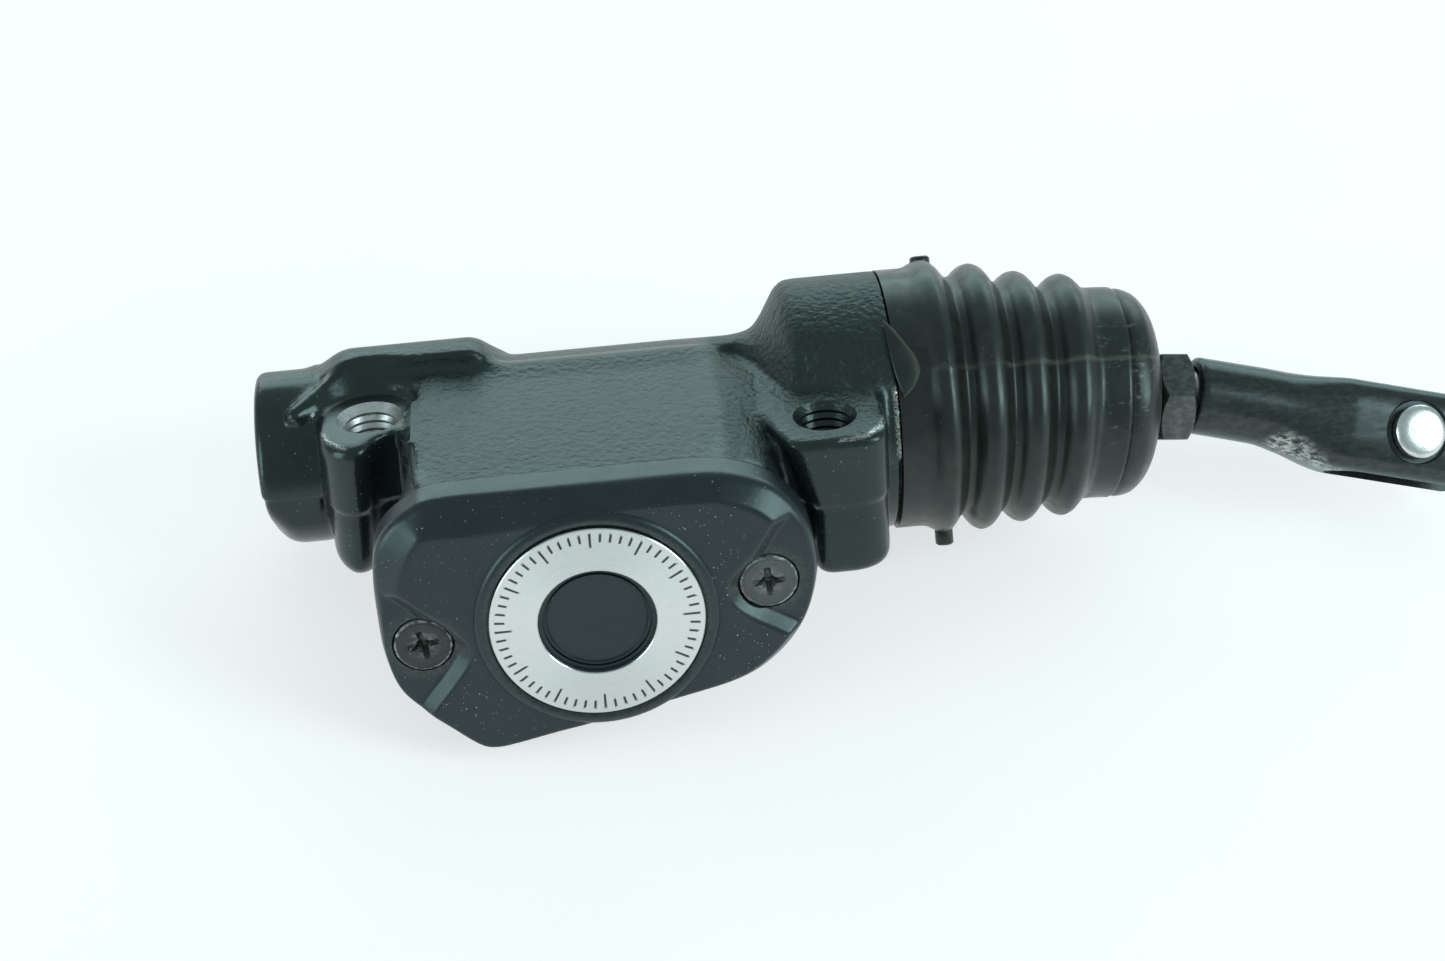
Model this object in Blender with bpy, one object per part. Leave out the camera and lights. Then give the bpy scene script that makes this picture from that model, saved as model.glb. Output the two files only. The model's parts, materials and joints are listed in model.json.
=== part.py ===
"""Rear brake master cylinder for a motorcycle: cast body with a side reservoir, cover, piston group,
push rod with a rubber boot, and a clevis.

Lengths below are in millimetres from the centre of the cylinder axis, midway between the mounting holes:
+X towards the push rod, -Y towards the reservoir cover, +Z out of the mounting faces. Everything is then
moved so that the lowest point is z = 0, and written in metres.
"""

import math

import bpy
from mathutils import Vector

MM = 0.001
SHIFT = Vector((-43.386, 10.925, 26.9))

# cast body
FACE_Z = 10.38
HOLE_SPACING = 63.5
HOLE_1 = (-31.75, -10.05)
HOLE_2 = (HOLE_1[0] + HOLE_SPACING, -22.45)
HOLE_R = 3.55
HOLE_MOUTH_R = 4.75
HOLE_DEPTH = 9.0
BOSS_R = 8.3
BOSS_FOOT = -10.5
BARREL_R = 11.8
BARREL_END = -48.5
BELL_R = 19.1
BELL_END = 43.0
SPIGOT_R = 17.2
NOSE_R = 9.6
NOSE_END = 52.0
BORE_R = 6.35
BORE_END = -22.0
PORT_R = 4.3
PORT_FLOOR = -39.5
SEAT_ROOM_R = 3.3
RING_GROOVE = (48.8, 50.0)

# reservoir and cover
JOINT_Y = -33.0
COVER_FACE_Y = -41.0
GAP = 0.3
SCREWS = ((-26.3, -9.9), (21.3, -5.2))
SCREW_R = 2.2
SCREW_HEAD_R = 4.0
LABEL_CENTRE = (-2.41, -7.65)
LABEL_RIM_R = 16.3
LABEL_R = (8.1, 14.7)

# piston and push rod
PISTON_R = 6.28
PIVOT_X = 45.0
BALL_R = 5.0
ROD_R = 3.97
NECK_R = 2.8
ROD_TILT = math.radians(6.0)
BEND_AT = 46.9
CLEVIS_TILT = math.radians(16.0)
NUT_FLATS = 12.7
NUT_SPAN = (40.5, 46.0)
FORK_HALF = 7.1
FORK_DROP = 1.2
SLOT = 7.9
PIN_AT = 31.4
PIN_R = 3.17
PIN_TURN = math.radians(33)
CLEVIS_END = 44.0

COVER_EDGE = [
    (-22.5, 11.6), (-26.2, 10.0), (-29.2, 7.6), (-31.0, 4.6), (-31.7, 0.0), (-31.8, -6.0), (-31.6, -11.2),
    (-30.2, -16.6), (-27.4, -19.9), (-23.6, -23.2), (-20.4, -26.0), (-18.4, -26.9), (-15.6, -26.7),
    (-9.2, -25.5), (-3.4, -24.3), (7.9, -21.8), (16.4, -19.6), (21.4, -16.4), (25.1, -11.9), (27.1, -6.4),
    (27.3, -1.6), (25.9, 4.0), (22.6, 8.3), (18.0, 10.7), (12.4, 11.6), (0.0, 11.7), (-12.0, 11.7),
]
COVER_FLAT = [
    (-23.0, 7.6), (-25.0, 6.6), (-26.6, 4.4), (-27.8, 2.0), (-28.7, -0.8), (-29.8, -6.0), (-30.2, -11.2),
    (-29.0, -16.3), (-26.6, -19.2), (-22.9, -22.4), (-19.8, -25.1), (-18.2, -25.9), (-15.6, -25.7),
    (-9.4, -24.5), (-3.6, -23.3), (7.6, -20.8), (15.9, -18.6), (20.6, -15.7), (24.1, -11.4), (26.0, -6.2),
    (26.0, -1.6), (24.2, 1.8), (20.9, 6.0), (16.6, 8.5), (12.6, 9.3), (0.0, 9.15), (-11.7, 7.9),
]
WELL = [
    (-17.0, 8.6), (-20.2, 6.8), (-21.4, 2.5), (-21.4, -14.0), (-19.6, -20.2), (-16.5, -22.6), (-12.5, -22.8),
    (4.0, -19.2), (11.5, -17.2), (15.2, -13.8), (16.4, -9.0), (16.4, 2.0), (15.2, 6.6), (11.5, 8.6),
]
BOOT_OUTSIDE = [
    (43.3, 19.1), (47.6, 19.1), (49.2, 20.0), (51.0, 19.9), (52.6, 18.4), (53.8, 18.0), (55.3, 18.7),
    (56.8, 19.15), (58.4, 18.3), (60.2, 16.9), (61.8, 17.6), (63.4, 18.05), (65.1, 17.3), (67.0, 16.1),
    (68.5, 16.75), (70.0, 17.15), (71.5, 16.4), (73.0, 15.4), (79.0, 15.1), (80.8, 14.3), (82.6, 12.3),
    (84.0, 9.4), (84.9, 6.6), (84.9, 4.3),
]
BOOT_INSIDE = [
    (43.3, 17.5), (49.4, 17.5), (50.3, 18.3), (52.4, 16.8), (53.8, 16.4), (56.7, 17.5), (60.2, 15.3),
    (63.3, 16.4), (67.0, 14.5), (69.9, 15.5), (72.6, 13.8), (78.4, 13.5), (80.2, 12.4), (82.0, 9.4),
    (82.9, 6.6), (83.2, 4.3),
]

SATIN_BLACK = (0.02, 0.021, 0.023, 1)
RUBBER = (0.03, 0.028, 0.026, 1)
STEEL = (0.55, 0.55, 0.56, 1)
DARK_STEEL = (0.06, 0.062, 0.065, 1)
ZINC = (0.78, 0.78, 0.76, 1)
ALUMINIUM = (0.75, 0.75, 0.77, 1)


def clear_scene():
    for obj in list(bpy.data.objects):
        bpy.data.objects.remove(obj, do_unlink=True)


def material(name, colour, metallic, roughness):
    made = bpy.data.materials.new(name)
    made.use_nodes = True
    shader = made.node_tree.nodes["Principled BSDF"]
    shader.inputs["Base Color"].default_value = colour
    shader.inputs["Metallic"].default_value = metallic
    shader.inputs["Roughness"].default_value = roughness
    return made


def add(name, points, faces, smooth=True):
    """A mesh object from points in millimetres, with its faces turned outwards."""
    mesh = bpy.data.meshes.new(name)
    mesh.from_pydata([(Vector(p) + SHIFT) * MM for p in points], [], faces)
    mesh.validate()
    volume = 0.0
    mesh.calc_loop_triangles()
    for tri in mesh.loop_triangles:
        a, b, c = (mesh.vertices[i].co for i in tri.vertices)
        volume += a.dot(b.cross(c))
    if volume < 0:
        mesh.flip_normals()
    for face in mesh.polygons:
        face.use_smooth = smooth
    if smooth:
        mesh.set_sharp_from_angle(angle=math.radians(32))
    obj = bpy.data.objects.new(name, mesh)
    bpy.context.scene.collection.objects.link(obj)
    return obj


def frame_of(direction):
    """Two unit vectors square to a direction and to each other."""
    d = Vector(direction).normalized()
    side = Vector((0, 0, 1)) if abs(d.z) < 0.9 else Vector((0, 1, 0))
    u = side.cross(d).normalized()
    return u, d.cross(u)


def rings_to_mesh(name, rings, closed=False, smooth=True):
    """Joins rings of equal count; a ring of one point is a tip. Open ends are capped with a flat face."""
    points, starts = [], []
    for ring in rings:
        starts.append(len(points))
        points.extend(ring)
    faces = []
    pairs = list(zip(range(len(rings) - 1), range(1, len(rings))))
    if closed:
        pairs.append((len(rings) - 1, 0))
    for i, j in pairs:
        a, b = rings[i], rings[j]
        n = max(len(a), len(b))
        for k in range(n):
            p, q = k, (k + 1) % n
            if len(a) == 1:
                faces.append((starts[i], starts[j] + q, starts[j] + p))
            elif len(b) == 1:
                faces.append((starts[i] + p, starts[i] + q, starts[j]))
            else:
                faces.append((starts[i] + p, starts[i] + q, starts[j] + q, starts[j] + p))
    if not closed:
        if len(rings[0]) > 2:
            faces.append(tuple(reversed(range(len(rings[0])))))
        if len(rings[-1]) > 2:
            faces.append(tuple(starts[-1] + k for k in range(len(rings[-1]))))
    return add(name, points, faces, smooth)


def circle(centre, direction, radius, steps, turn=0.0):
    if radius < 1e-6:
        return [Vector(centre)]
    u, v = frame_of(direction)
    angles = [turn + 2 * math.pi * k / steps for k in range(steps)]
    return [Vector(centre) + radius * (math.cos(a) * u + math.sin(a) * v) for a in angles]


def turned(name, profile, steps=32, origin=(0, 0, 0), axis=(1, 0, 0), closed=False, turn=0.0):
    """A turned piece: profile is (distance along the axis, radius). Closed means that it has a hole through it."""
    axis = Vector(axis).normalized()
    rings = [circle(Vector(origin) + axis * s, axis, r, steps, turn) for s, r in profile]
    return rings_to_mesh(name, rings, closed)


def prism(name, outline, low, high, smooth=False):
    """An outline in X and Y raised from z = low to z = high."""
    return rings_to_mesh(name, [[(x, y, z) for x, y in outline] for z in (low, high)], smooth=smooth)


def plate(name, levels, smooth=False):
    """Joins outlines in X and Z, each given with its own y."""
    return rings_to_mesh(name, [[(x, y, z) for x, z in outline] for y, outline in levels], smooth=smooth)


def tube(name, path, radius, sides=8):
    """Wire along a path, with flat ends, its cross-section carried along without twisting."""
    path = [Vector(p) for p in path]
    ways = [(path[min(i + 1, len(path) - 1)] - path[max(i - 1, 0)]).normalized() for i in range(len(path))]
    u = frame_of(ways[0])[0]
    rings = []
    for point, way in zip(path, ways):
        u = (u - way * u.dot(way)).normalized()
        v = way.cross(u)
        angles = [2 * math.pi * k / sides for k in range(sides)]
        rings.append([point + radius * (math.cos(a) * u + math.sin(a) * v) for a in angles])
    return rings_to_mesh(name, rings)


def boolean(target, operation, *others, solver="EXACT"):
    for other in others:
        step = target.modifiers.new(other.name, "BOOLEAN")
        step.operation = operation
        step.solver = solver
        step.object = other
        other.hide_render = True
        other.display_type = "WIRE"


def mixed(a, b, share):
    return [tuple(p + (q - p) * share for p, q in zip(m, n)) for m, n in zip(a, b)]


def inset(outline, by):
    """The outline drawn in towards its middle by a distance."""
    cx = sum(p[0] for p in outline) / len(outline)
    cz = sum(p[1] for p in outline) / len(outline)
    made = []
    for x, z in outline:
        reach = math.hypot(x - cx, z - cz)
        made.append((cx + (x - cx) * (1 - by / reach), cz + (z - cz) * (1 - by / reach)))
    return made


def step_between(x, low, high):
    t = min(1.0, max(0.0, (x - low) / (high - low)))
    return t * t * (3 - 2 * t)


def boot_centre(x):
    """The centre line that the boot and the return spring follow from the cylinder axis to the tilted rod."""
    return Vector((x, 0, -math.tan(ROD_TILT) * (x - PIVOT_X) * step_between(x, 46, 64)))


def boot_way(x):
    return (boot_centre(x + 0.5) - boot_centre(x - 0.5)).normalized()


ROD_DIR = Vector((math.cos(ROD_TILT), 0, -math.sin(ROD_TILT)))
CLEVIS_DIR = Vector((math.cos(CLEVIS_TILT), 0, -math.sin(CLEVIS_TILT)))
CLEVIS_UP = Vector((math.sin(CLEVIS_TILT), 0, math.cos(CLEVIS_TILT)))
PIVOT = Vector((PIVOT_X, 0, 0))
BEND = PIVOT + ROD_DIR * BEND_AT
PIN_CENTRE = BEND + CLEVIS_DIR * PIN_AT - CLEVIS_UP * FORK_DROP
PIN_DIR = Vector((0, -1, 0)) * math.cos(PIN_TURN) + CLEVIS_UP * math.sin(PIN_TURN)


def reservoir_shape(name):
    """Reservoir outside: the cover's outline at the joint, narrowing back to the barrel."""
    front = inset(COVER_EDGE, 0.6)
    waist, back = [], []
    for x, z in front:
        wx = max(-25.5, min(21.0, x * 0.86 - 1.2))
        waist.append((wx, max(-23.5, z * 0.91) if z < 0 else min(z * 1.02, BARREL_R)))
        back.append((max(-21.5, min(16.0, x * 0.70)), z * 0.45 if z < 0 else min(z, BARREL_R - 0.1)))
    return plate(name, [(JOINT_Y, front), (JOINT_Y + 4.5, mixed(front, waist, 0.55)), (-20.0, waist), (-8.2, back)])


def boss_front(centre, radius):
    """The round front of a boss, seen from above."""
    turns = [math.radians(a) for a in range(180, 361, 15)]
    return [(centre[0] + radius * math.cos(a), centre[1] + radius * math.sin(a)) for a in turns]


def make_body():
    """Each added piece stays outside the bore and the spring room, which are turned with the barrel."""
    body = turned("cylinder_body", [
        (BARREL_END, PORT_R + 1.2), (BARREL_END, 11.3), (-48.1, 12.1), (-47.3, 12.63), (-42.6, 12.63),
        (-41.9, BARREL_R), (16, BARREL_R), (20, 12.5), (22.8, 14.1), (26.2, 17.3), (28.6, 18.7), (31.5, BELL_R),
        (BELL_END, BELL_R), (BELL_END, SPIGOT_R), (49, SPIGOT_R), (49, 15.4), (27.5, 15.4), (27.5, NOSE_R),
        (NOSE_END - 0.5, NOSE_R), (NOSE_END, NOSE_R - 0.5), (NOSE_END, BORE_R), (RING_GROOVE[1], BORE_R),
        (RING_GROOVE[1], 7.15), (RING_GROOVE[0], 7.15), (RING_GROOVE[0], BORE_R), (BORE_END, BORE_R),
        (BORE_END, 1.5), (-36, 1.5), (-36, SEAT_ROOM_R), (PORT_FLOOR, SEAT_ROOM_R), (PORT_FLOOR, PORT_R),
        (BARREL_END + 1.2, PORT_R)], 40, closed=True)
    reservoir = reservoir_shape("reservoir_wall")
    web = prism("top_web", [(-21.4, -9.5), (15.8, -9.5), (15.8, -0.6), (-21.4, -0.6)], 7.2, BARREL_R - 0.06)
    boss_1 = prism("boss_left", [(-40.05, -4.7)] + boss_front(HOLE_1, BOSS_R) + [(-23.4, -4.7)], BOSS_FOOT, FACE_Z)
    boss_2 = prism("boss_right", [(22.0, -7.5), (22.0, -29.6), (24.6, -30.4)] + boss_front(HOLE_2, BOSS_R)[6:]
                   + [(40.05, -15.6), (27.2, -15.6), (27.2, -7.5)], BOSS_FOOT, FACE_Z)
    step = prism("boss_step", [(17.5, -13.5), (26.9, -13.5), (26.9, -2.4), (17.5, -2.4)], 7.4, FACE_Z - 0.05)
    ends = ((-38.6, 9.5), (-33.4, 14.3), (-20.6, 14.3), (-16.8, 9.5))
    pad = rings_to_mesh("raised_pad", [[(x, -4.0, z) for x, z in ends], [(x, 4.5, z) for x, z in ends],
                                       [(x, 10.6, z * 0.5 + 1.2) for x, z in ends]], smooth=False)
    lugs = [turned(f"screw_lug_{i}", [(0.15, 4.55), (11.3, 4.15)], 16, (x, JOINT_Y, z), (0, 1, 0), turn=0.11)
            for i, (x, z) in enumerate(SCREWS)]
    lower_lug = turned("lower_lug", [(0.1, 2.6), (5, 2.2)], 12, (-25.4, JOINT_Y, -20.2), (0, 1, 0))
    boolean(body, "UNION", reservoir, web, boss_1, boss_2, step, pad, *lugs, lower_lug, solver="MANIFOLD")

    waist = [(x * 0.88 - 0.6, z * 0.84 if z < 0 else z) for x, z in WELL]
    floor = [(x * 0.66, z * 0.40 if z < 0 else z * 0.8) for x, z in WELL]
    cutters = [plate("well_cutter", [(JOINT_Y - 1, WELL), (-23, waist), (-12, floor)])]
    for i, ((x, y), r_low, r_high) in enumerate(((HOLE_1, 6.6, 9.6), (HOLE_2, 7.6, 10.2))):
        cutters.append(turned(f"spot_face_cutter_{i}", [
            (0, 0), (0, r_low), (0.9, r_low + 0.25), (6.5, r_high + 1), (6.5, 0)], 28, (x, y, FACE_Z), (0, 0, 1)))
        cutters.append(turned(f"mounting_hole_cutter_{i}", [
            (1, 0), (1, HOLE_MOUTH_R + 1.2), (-1.0, HOLE_R), (-HOLE_DEPTH, HOLE_R), (-HOLE_DEPTH - 1.6, 0)],
            24, (x, y, FACE_Z), (0, 0, 1)))
    for i, (x, z) in enumerate(SCREWS):
        cutters.append(turned(f"tapped_hole_cutter_{i}", [
            (-1, 0), (-1, 2.5), (9.5, 2.5), (10.5, 0)], 12, (x, JOINT_Y, z), (0, 1, 0)))
    for i, (x, r) in enumerate(((-6.0, 0.45), (15.0, 1.6))):
        cutters.append(turned(f"fluid_port_cutter_{i}", [(-13, r), (-5.6, r)], 10, (x, 0, 0), (0, 1, 0)))
    boolean(body, "DIFFERENCE", *cutters, solver="MANIFOLD")
    return body


def make_cover():
    edge, flat = COVER_EDGE, COVER_FLAT
    low = JOINT_Y - GAP
    cover = plate("reservoir_cover", [
        (low, edge), (-37.0, inset(edge, 0.25)), (-39.3, mixed(edge, flat, 0.42)), (COVER_FACE_Y, flat)])
    x, z = LABEL_CENTRE
    raised = turned("label_rim", [(2, LABEL_RIM_R + 0.6), (0, LABEL_RIM_R + 0.6), (-0.7, LABEL_RIM_R - 0.3)],
                    40, (x, COVER_FACE_Y, z), (0, 1, 0))
    boolean(cover, "UNION", raised)
    seat = turned("label_seat_cutter", [
        (-2, LABEL_R[0] - 0.3), (-2, LABEL_R[1] + 0.3), (0.1, LABEL_R[1] + 0.3), (0.1, LABEL_R[0] - 0.3)],
        40, (x, COVER_FACE_Y, z), (0, 1, 0), closed=True)
    dish = turned("centre_dish_cutter", [(-2, 0), (-2, 7.1), (0.2, 6.9), (0.2, 0)], 32,
                  (x, COVER_FACE_Y, z), (0, 1, 0))
    room = plate("cover_room_cutter", [(low + 1, WELL), (-37.2, inset(WELL, 0.4))])
    cutters = [seat, dish, room]
    for i, (sx, sz) in enumerate(SCREWS):
        side = -1 if i == 0 else 1
        pocket = [(sx + side * 12, sz + 11.5), (sx - side * 3.6, sz + 3.6), (sx - side * 5.2, sz),
                  (sx - side * 3.6, sz - 4.4), (sx + side * 12, sz - 14.5)]
        cutters.append(plate(f"screw_pocket_cutter_{i}", [(COVER_FACE_Y - 2, pocket),
                                                          (COVER_FACE_Y + 1.5, inset(pocket, 0.5))]))
        cutters.append(turned(f"screw_hole_cutter_{i}", [
            (-2, SCREW_HEAD_R + 0.3), (2.7, SCREW_HEAD_R + 0.3), (4.6, SCREW_R + 0.35), (10, SCREW_R + 0.35)],
            16, (sx, COVER_FACE_Y, sz), (0, 1, 0)))
    boolean(cover, "DIFFERENCE", *cutters)
    return cover


def make_label_ring():
    x, z = LABEL_CENTRE
    return turned("cover_label_ring", [(-0.2, LABEL_R[0]), (-0.2, LABEL_R[1]), (-0.85, LABEL_R[1]),
                                       (-0.85, LABEL_R[0])], 48, (x, COVER_FACE_Y, z), (0, 1, 0), closed=True)


def make_cover_screw(name, at):
    """Countersunk cross-head screw."""
    x, z = at
    top = 1.7
    screw = turned(name, [(top, 0), (top, SCREW_HEAD_R - 0.3), (top + 0.3, SCREW_HEAD_R), (top + 0.9, SCREW_HEAD_R),
                          (top + 2.8, SCREW_R), (15.6, SCREW_R), (16.6, 1.3), (16.6, 0)], 20,
                   (x, COVER_FACE_Y, z), (0, 1, 0))
    for i, (w, h) in enumerate(((2.2, 0.45), (0.45, 2.2))):
        arm = plate(f"{name}_recess_{i}", [
            (COVER_FACE_Y + top - 1, [(x - w, z - h), (x + w, z - h), (x + w, z + h), (x - w, z + h)]),
            (COVER_FACE_Y + top + 1.6 + 0.1 * i, [(x - w / 2, z - h / 1.5), (x + w / 2, z - h / 1.5),
                                                  (x + w / 2, z + h / 1.5), (x - w / 2, z + h / 1.5)])])
        boolean(screw, "DIFFERENCE", arm)
    return screw


def make_diaphragm():
    """Rubber diaphragm: a flange in the cover's recess with a bellows dished into the reservoir."""
    base = inset(WELL, 0.9)
    return plate("reservoir_diaphragm", [
        (-31.0, inset(base, 5.2)), (-36.0, inset(base, 4.4)), (-36.8, inset(base, 4.0)), (-36.8, base),
        (-35.6, base), (-35.6, inset(base, 3.0)), (-35.0, inset(base, 3.2)), (-29.8, inset(base, 4.2))], smooth=True)


def make_splash_plate():
    outline = [(-11, -4.5), (5, -4.5), (5, 4.5), (-11, 4.5)]
    return plate("splash_plate", [(-13.0, outline), (-12.35, outline)])


def make_piston():
    socket = [(PIVOT_X - (BALL_R + 0.15) * math.sin(t), (BALL_R + 0.15) * math.cos(t))
              for t in (math.radians(a) for a in (0, 22, 44, 66))]
    return turned("piston", [
        (-3, 0), (-3, 5.5), (-2.3, PISTON_R), (-0.5, PISTON_R), (-0.5, 4.1), (4, 4.1), (4, PISTON_R), (7, PISTON_R),
        (8.2, 5), (29.8, 5), (31, PISTON_R), (33.5, PISTON_R), (33.5, 4.1), (37.5, 4.1), (37.5, PISTON_R),
        (46.5, PISTON_R), (46.5, BALL_R + 0.15)] + socket + [(PIVOT_X - BALL_R - 0.15, 0)], 28)


def make_cup(name, start):
    """Rubber lip seal in a piston groove, its lip towards the pressure."""
    return turned(name, [(start, 5.0), (start - 0.1, 6.2), (start + 2.4, 6.0), (start + 3.3, 5.7), (start + 3.3, 4.4),
                         (start + 2.0, 4.4), (start + 1.4, 5.2)], 20, closed=True)


def make_spring_cup():
    return turned("spring_cup", [(-3.3, 0), (-3.3, 5.7), (-4.3, 5.7), (-4.3, 3.5), (-7.6, 3.3), (-8.1, 2.8),
                                 (-8.1, 0)], 24)


def coil(centre_at, way_at, start, end, coil_r, turns, per_turn=14):
    """Points of a helix along a centre line, flattened to closed coils at both ends."""
    count = int(turns * per_turn)
    points = []
    for i in range(count + 1):
        t = i / count
        share = t + 0.32 / turns * math.sin(2 * math.pi * t) * 2
        along = start + (end - start) * min(1.0, max(0.0, share if turns > 3 else t))
        u, v = frame_of(way_at(along))
        a = 2 * math.pi * turns * t
        points.append(centre_at(along) + coil_r * (math.cos(a) * u + math.sin(a) * v))
    return points


def make_springs():
    inner = tube("piston_spring", coil(lambda x: Vector((x, 0, 0)), lambda x: Vector((1, 0, 0)),
                                       -21.1, -5.2, 4.5, 6.0, 10), 0.45, 5)
    seat_face = PIVOT_X + 31.1 * math.cos(ROD_TILT)
    outer = tube("return_spring", coil(boot_centre, boot_way, 29.9, seat_face, 11.6, 6.0, 15), 0.9, 6)
    return inner, outer


def make_boot():
    rings = [circle(boot_centre(x), boot_way(x), r, 30) for x, r in BOOT_OUTSIDE]
    rings += [circle(boot_centre(x), boot_way(x), r, 30) for x, r in reversed(BOOT_INSIDE)]
    return rings_to_mesh("rubber_boot", rings, closed=True)


def make_push_rod():
    stations = [(PIVOT + ROD_DIR * (-BALL_R), ROD_DIR, 0)]
    for a in (25, 50, 75, 95, 115, 135):
        t = math.radians(a)
        stations.append((PIVOT - ROD_DIR * BALL_R * math.cos(t), ROD_DIR, BALL_R * math.sin(t)))
    for s, r in ((4.3, NECK_R), (18.5, NECK_R), (20.0, ROD_R), (33.8, ROD_R), (33.8, 6.0), (35.6, 6.0), (35.6, ROD_R),
                 (BEND_AT - 0.7, ROD_R)):
        stations.append((PIVOT + ROD_DIR * s, ROD_DIR, r))
    stations.append((BEND, (ROD_DIR + CLEVIS_DIR).normalized(), ROD_R))
    for t, r in ((0.9, ROD_R), (8.0, ROD_R), (8.8, 3.0)):
        stations.append((BEND + CLEVIS_DIR * t, CLEVIS_DIR, r))
    stations.append((BEND + CLEVIS_DIR * 8.8, CLEVIS_DIR, 0))
    return rings_to_mesh("push_rod", [circle(c, w, r, 24) for c, w, r in stations])


def make_rod_pieces():
    nut = turned("jam_nut", [(NUT_SPAN[0], 5.4), (NUT_SPAN[0], NUT_FLATS / 2 - 0.2), (NUT_SPAN[0] + 0.5, 7.33),
                             (NUT_SPAN[1] - 0.5, 7.33), (NUT_SPAN[1], NUT_FLATS / 2 - 0.2), (NUT_SPAN[1], 5.4)],
                 6, PIVOT, ROD_DIR, turn=math.radians(-29))
    hole = turned("jam_nut_bore", [(NUT_SPAN[0] - 1, ROD_R + GAP), (NUT_SPAN[1] + 1, ROD_R + GAP)], 24, PIVOT, ROD_DIR)
    boolean(nut, "DIFFERENCE", hole)
    seat = turned("spring_seat_outer", [(33.5, 4.3), (33.5, 12.5), (32.3, 12.5), (32.3, 10.2), (30.2, 10.0),
                                        (30.2, 9.2), (31.6, 8.6), (31.6, 4.3)], 32, PIVOT, ROD_DIR, closed=True)
    return nut, seat


def make_clevis():
    across = PIN_DIR.cross(CLEVIS_DIR)

    def station(t, r, drop, square):
        """A section that turns from round (square = 0) on the neck to a rounded square on the fork."""
        centre = BEND + CLEVIS_DIR * t - CLEVIS_UP * drop
        ring = []
        for k in range(32):
            a = 2 * math.pi * k / 32
            c, s = math.cos(a), math.sin(a)
            reach = r / (abs(c) ** (2 + 2 * square) + abs(s) ** (2 + 2 * square)) ** (1 / (2 + 2 * square))
            ring.append(centre + PIN_DIR * (reach * c) + across * (reach * s))
        return ring

    profile = ((1.0, 5.2, 0, 0), (1.5, 5.7, 0, 0), (4, 5.75, 0, 0), (13.5, 5.9, 0.1, 0.05), (15.5, 6.15, 0.35, 0.2),
               (18, 6.7, 0.85, 0.6), (20, 7.0, 1.1, 0.85), (21.5, FORK_HALF, FORK_DROP, 1),
               (CLEVIS_END - 2.4, FORK_HALF, FORK_DROP, 1), (CLEVIS_END - 0.7, 6.3, FORK_DROP, 0.8),
               (CLEVIS_END, 5.3, FORK_DROP, 0.6))
    clevis = rings_to_mesh("clevis", [station(*row) for row in profile])
    socket = turned("clevis_socket_cutter", [(-2, ROD_R + GAP), (9.6, ROD_R + GAP), (11.6, 0)], 24, BEND, CLEVIS_DIR)
    slot_rings = []
    for t, half in ((-10.8, 1.2), (-9.9, 3.0), (-8.3, SLOT / 2), (14, SLOT / 2)):
        middle = PIN_CENTRE + CLEVIS_DIR * t
        slot_rings.append([middle + PIN_DIR * (a * half) + across * (b * 10)
                           for a, b in ((-1, -1), (1, -1), (1, 1), (-1, 1))])
    slot = rings_to_mesh("fork_slot_cutter", slot_rings, smooth=False)
    hole = turned("pin_hole_cutter", [(-12, PIN_R + 0.08), (12, PIN_R + 0.08)], 24, PIN_CENTRE, PIN_DIR)
    flats = [turned(f"pin_flat_cutter_{i}", [(side * 6.5, r), (side * 12, r)], 24, PIN_CENTRE, PIN_DIR)
             for i, (side, r) in enumerate(((1, 5.0), (-1, 6.7)))]
    boolean(clevis, "DIFFERENCE", socket, slot, hole, *flats)
    return clevis


def make_pin_group():
    pin = turned("clevis_pin", [(8.9, 0), (8.9, 3.5), (8.5, 4.0), (6.8, 4.0), (6.8, PIN_R), (-11.4, PIN_R),
                                (-12.0, PIN_R - 0.7), (-12.0, 0)], 24, PIN_CENTRE, PIN_DIR)
    cross_hole = turned("split_pin_hole", [(-5, 1.0), (5, 1.0)], 10, PIN_CENTRE - PIN_DIR * 9.6, CLEVIS_DIR)
    boolean(pin, "DIFFERENCE", cross_hole)
    washer = turned("pin_washer", [(-6.9, PIN_R + 0.25), (-6.9, 6.2), (-7.9, 6.2), (-7.9, PIN_R + 0.25)], 24,
                    PIN_CENTRE, PIN_DIR, closed=True)
    middle = PIN_CENTRE - PIN_DIR * 9.6
    across = PIN_DIR.cross(CLEVIS_DIR)
    path = [middle + CLEVIS_DIR * t for t in (-6.4, -3, 0, 3.6)]
    for a in range(-60, 241, 30):
        t = math.radians(a)
        path.append(middle + CLEVIS_DIR * (5.9 + 1.6 * math.sin(t)) + across * (1.6 * math.cos(t) - 0.8))
    split = tube("split_pin", path, 0.7, 8)
    return pin, washer, split


def make_small_turned_pieces():
    outlet_seat = turned("outlet_seat", [(-36.3, 1.2), (-36.3, 3.0), (-38.2, 3.0), (-39.2, 2.0), (-39.2, 1.2)],
                         24, closed=True)
    washer = turned("rod_retaining_washer", [(47.3, 4.75), (47.3, 6.15), (48.5, 6.15), (48.5, 4.75)], 28, closed=True)
    seat = turned("spring_seat_inner", [(27.8, 10.0), (27.8, 15.0), (28.8, 15.0), (28.8, 10.0)], 32, closed=True)
    gap_angles = [math.radians(a) for a in range(25, 336, 15)]
    rings = []
    for a in gap_angles:
        way = Vector((0, math.cos(a), math.sin(a)))
        rings.append([Vector((x, 0, 0)) + way * r for x, r in ((48.9, 5.4), (48.9, 6.95), (49.9, 6.95), (49.9, 5.4))])
    ring = rings_to_mesh("retaining_ring", rings, smooth=False)
    return outlet_seat, washer, seat, ring


def finish_looks(looks):
    for obj in list(bpy.data.objects):
        if obj.hide_render:
            continue
        obj.data.materials.clear()
        obj.data.materials.append(material(obj.name, *looks[obj.name]))


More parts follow.
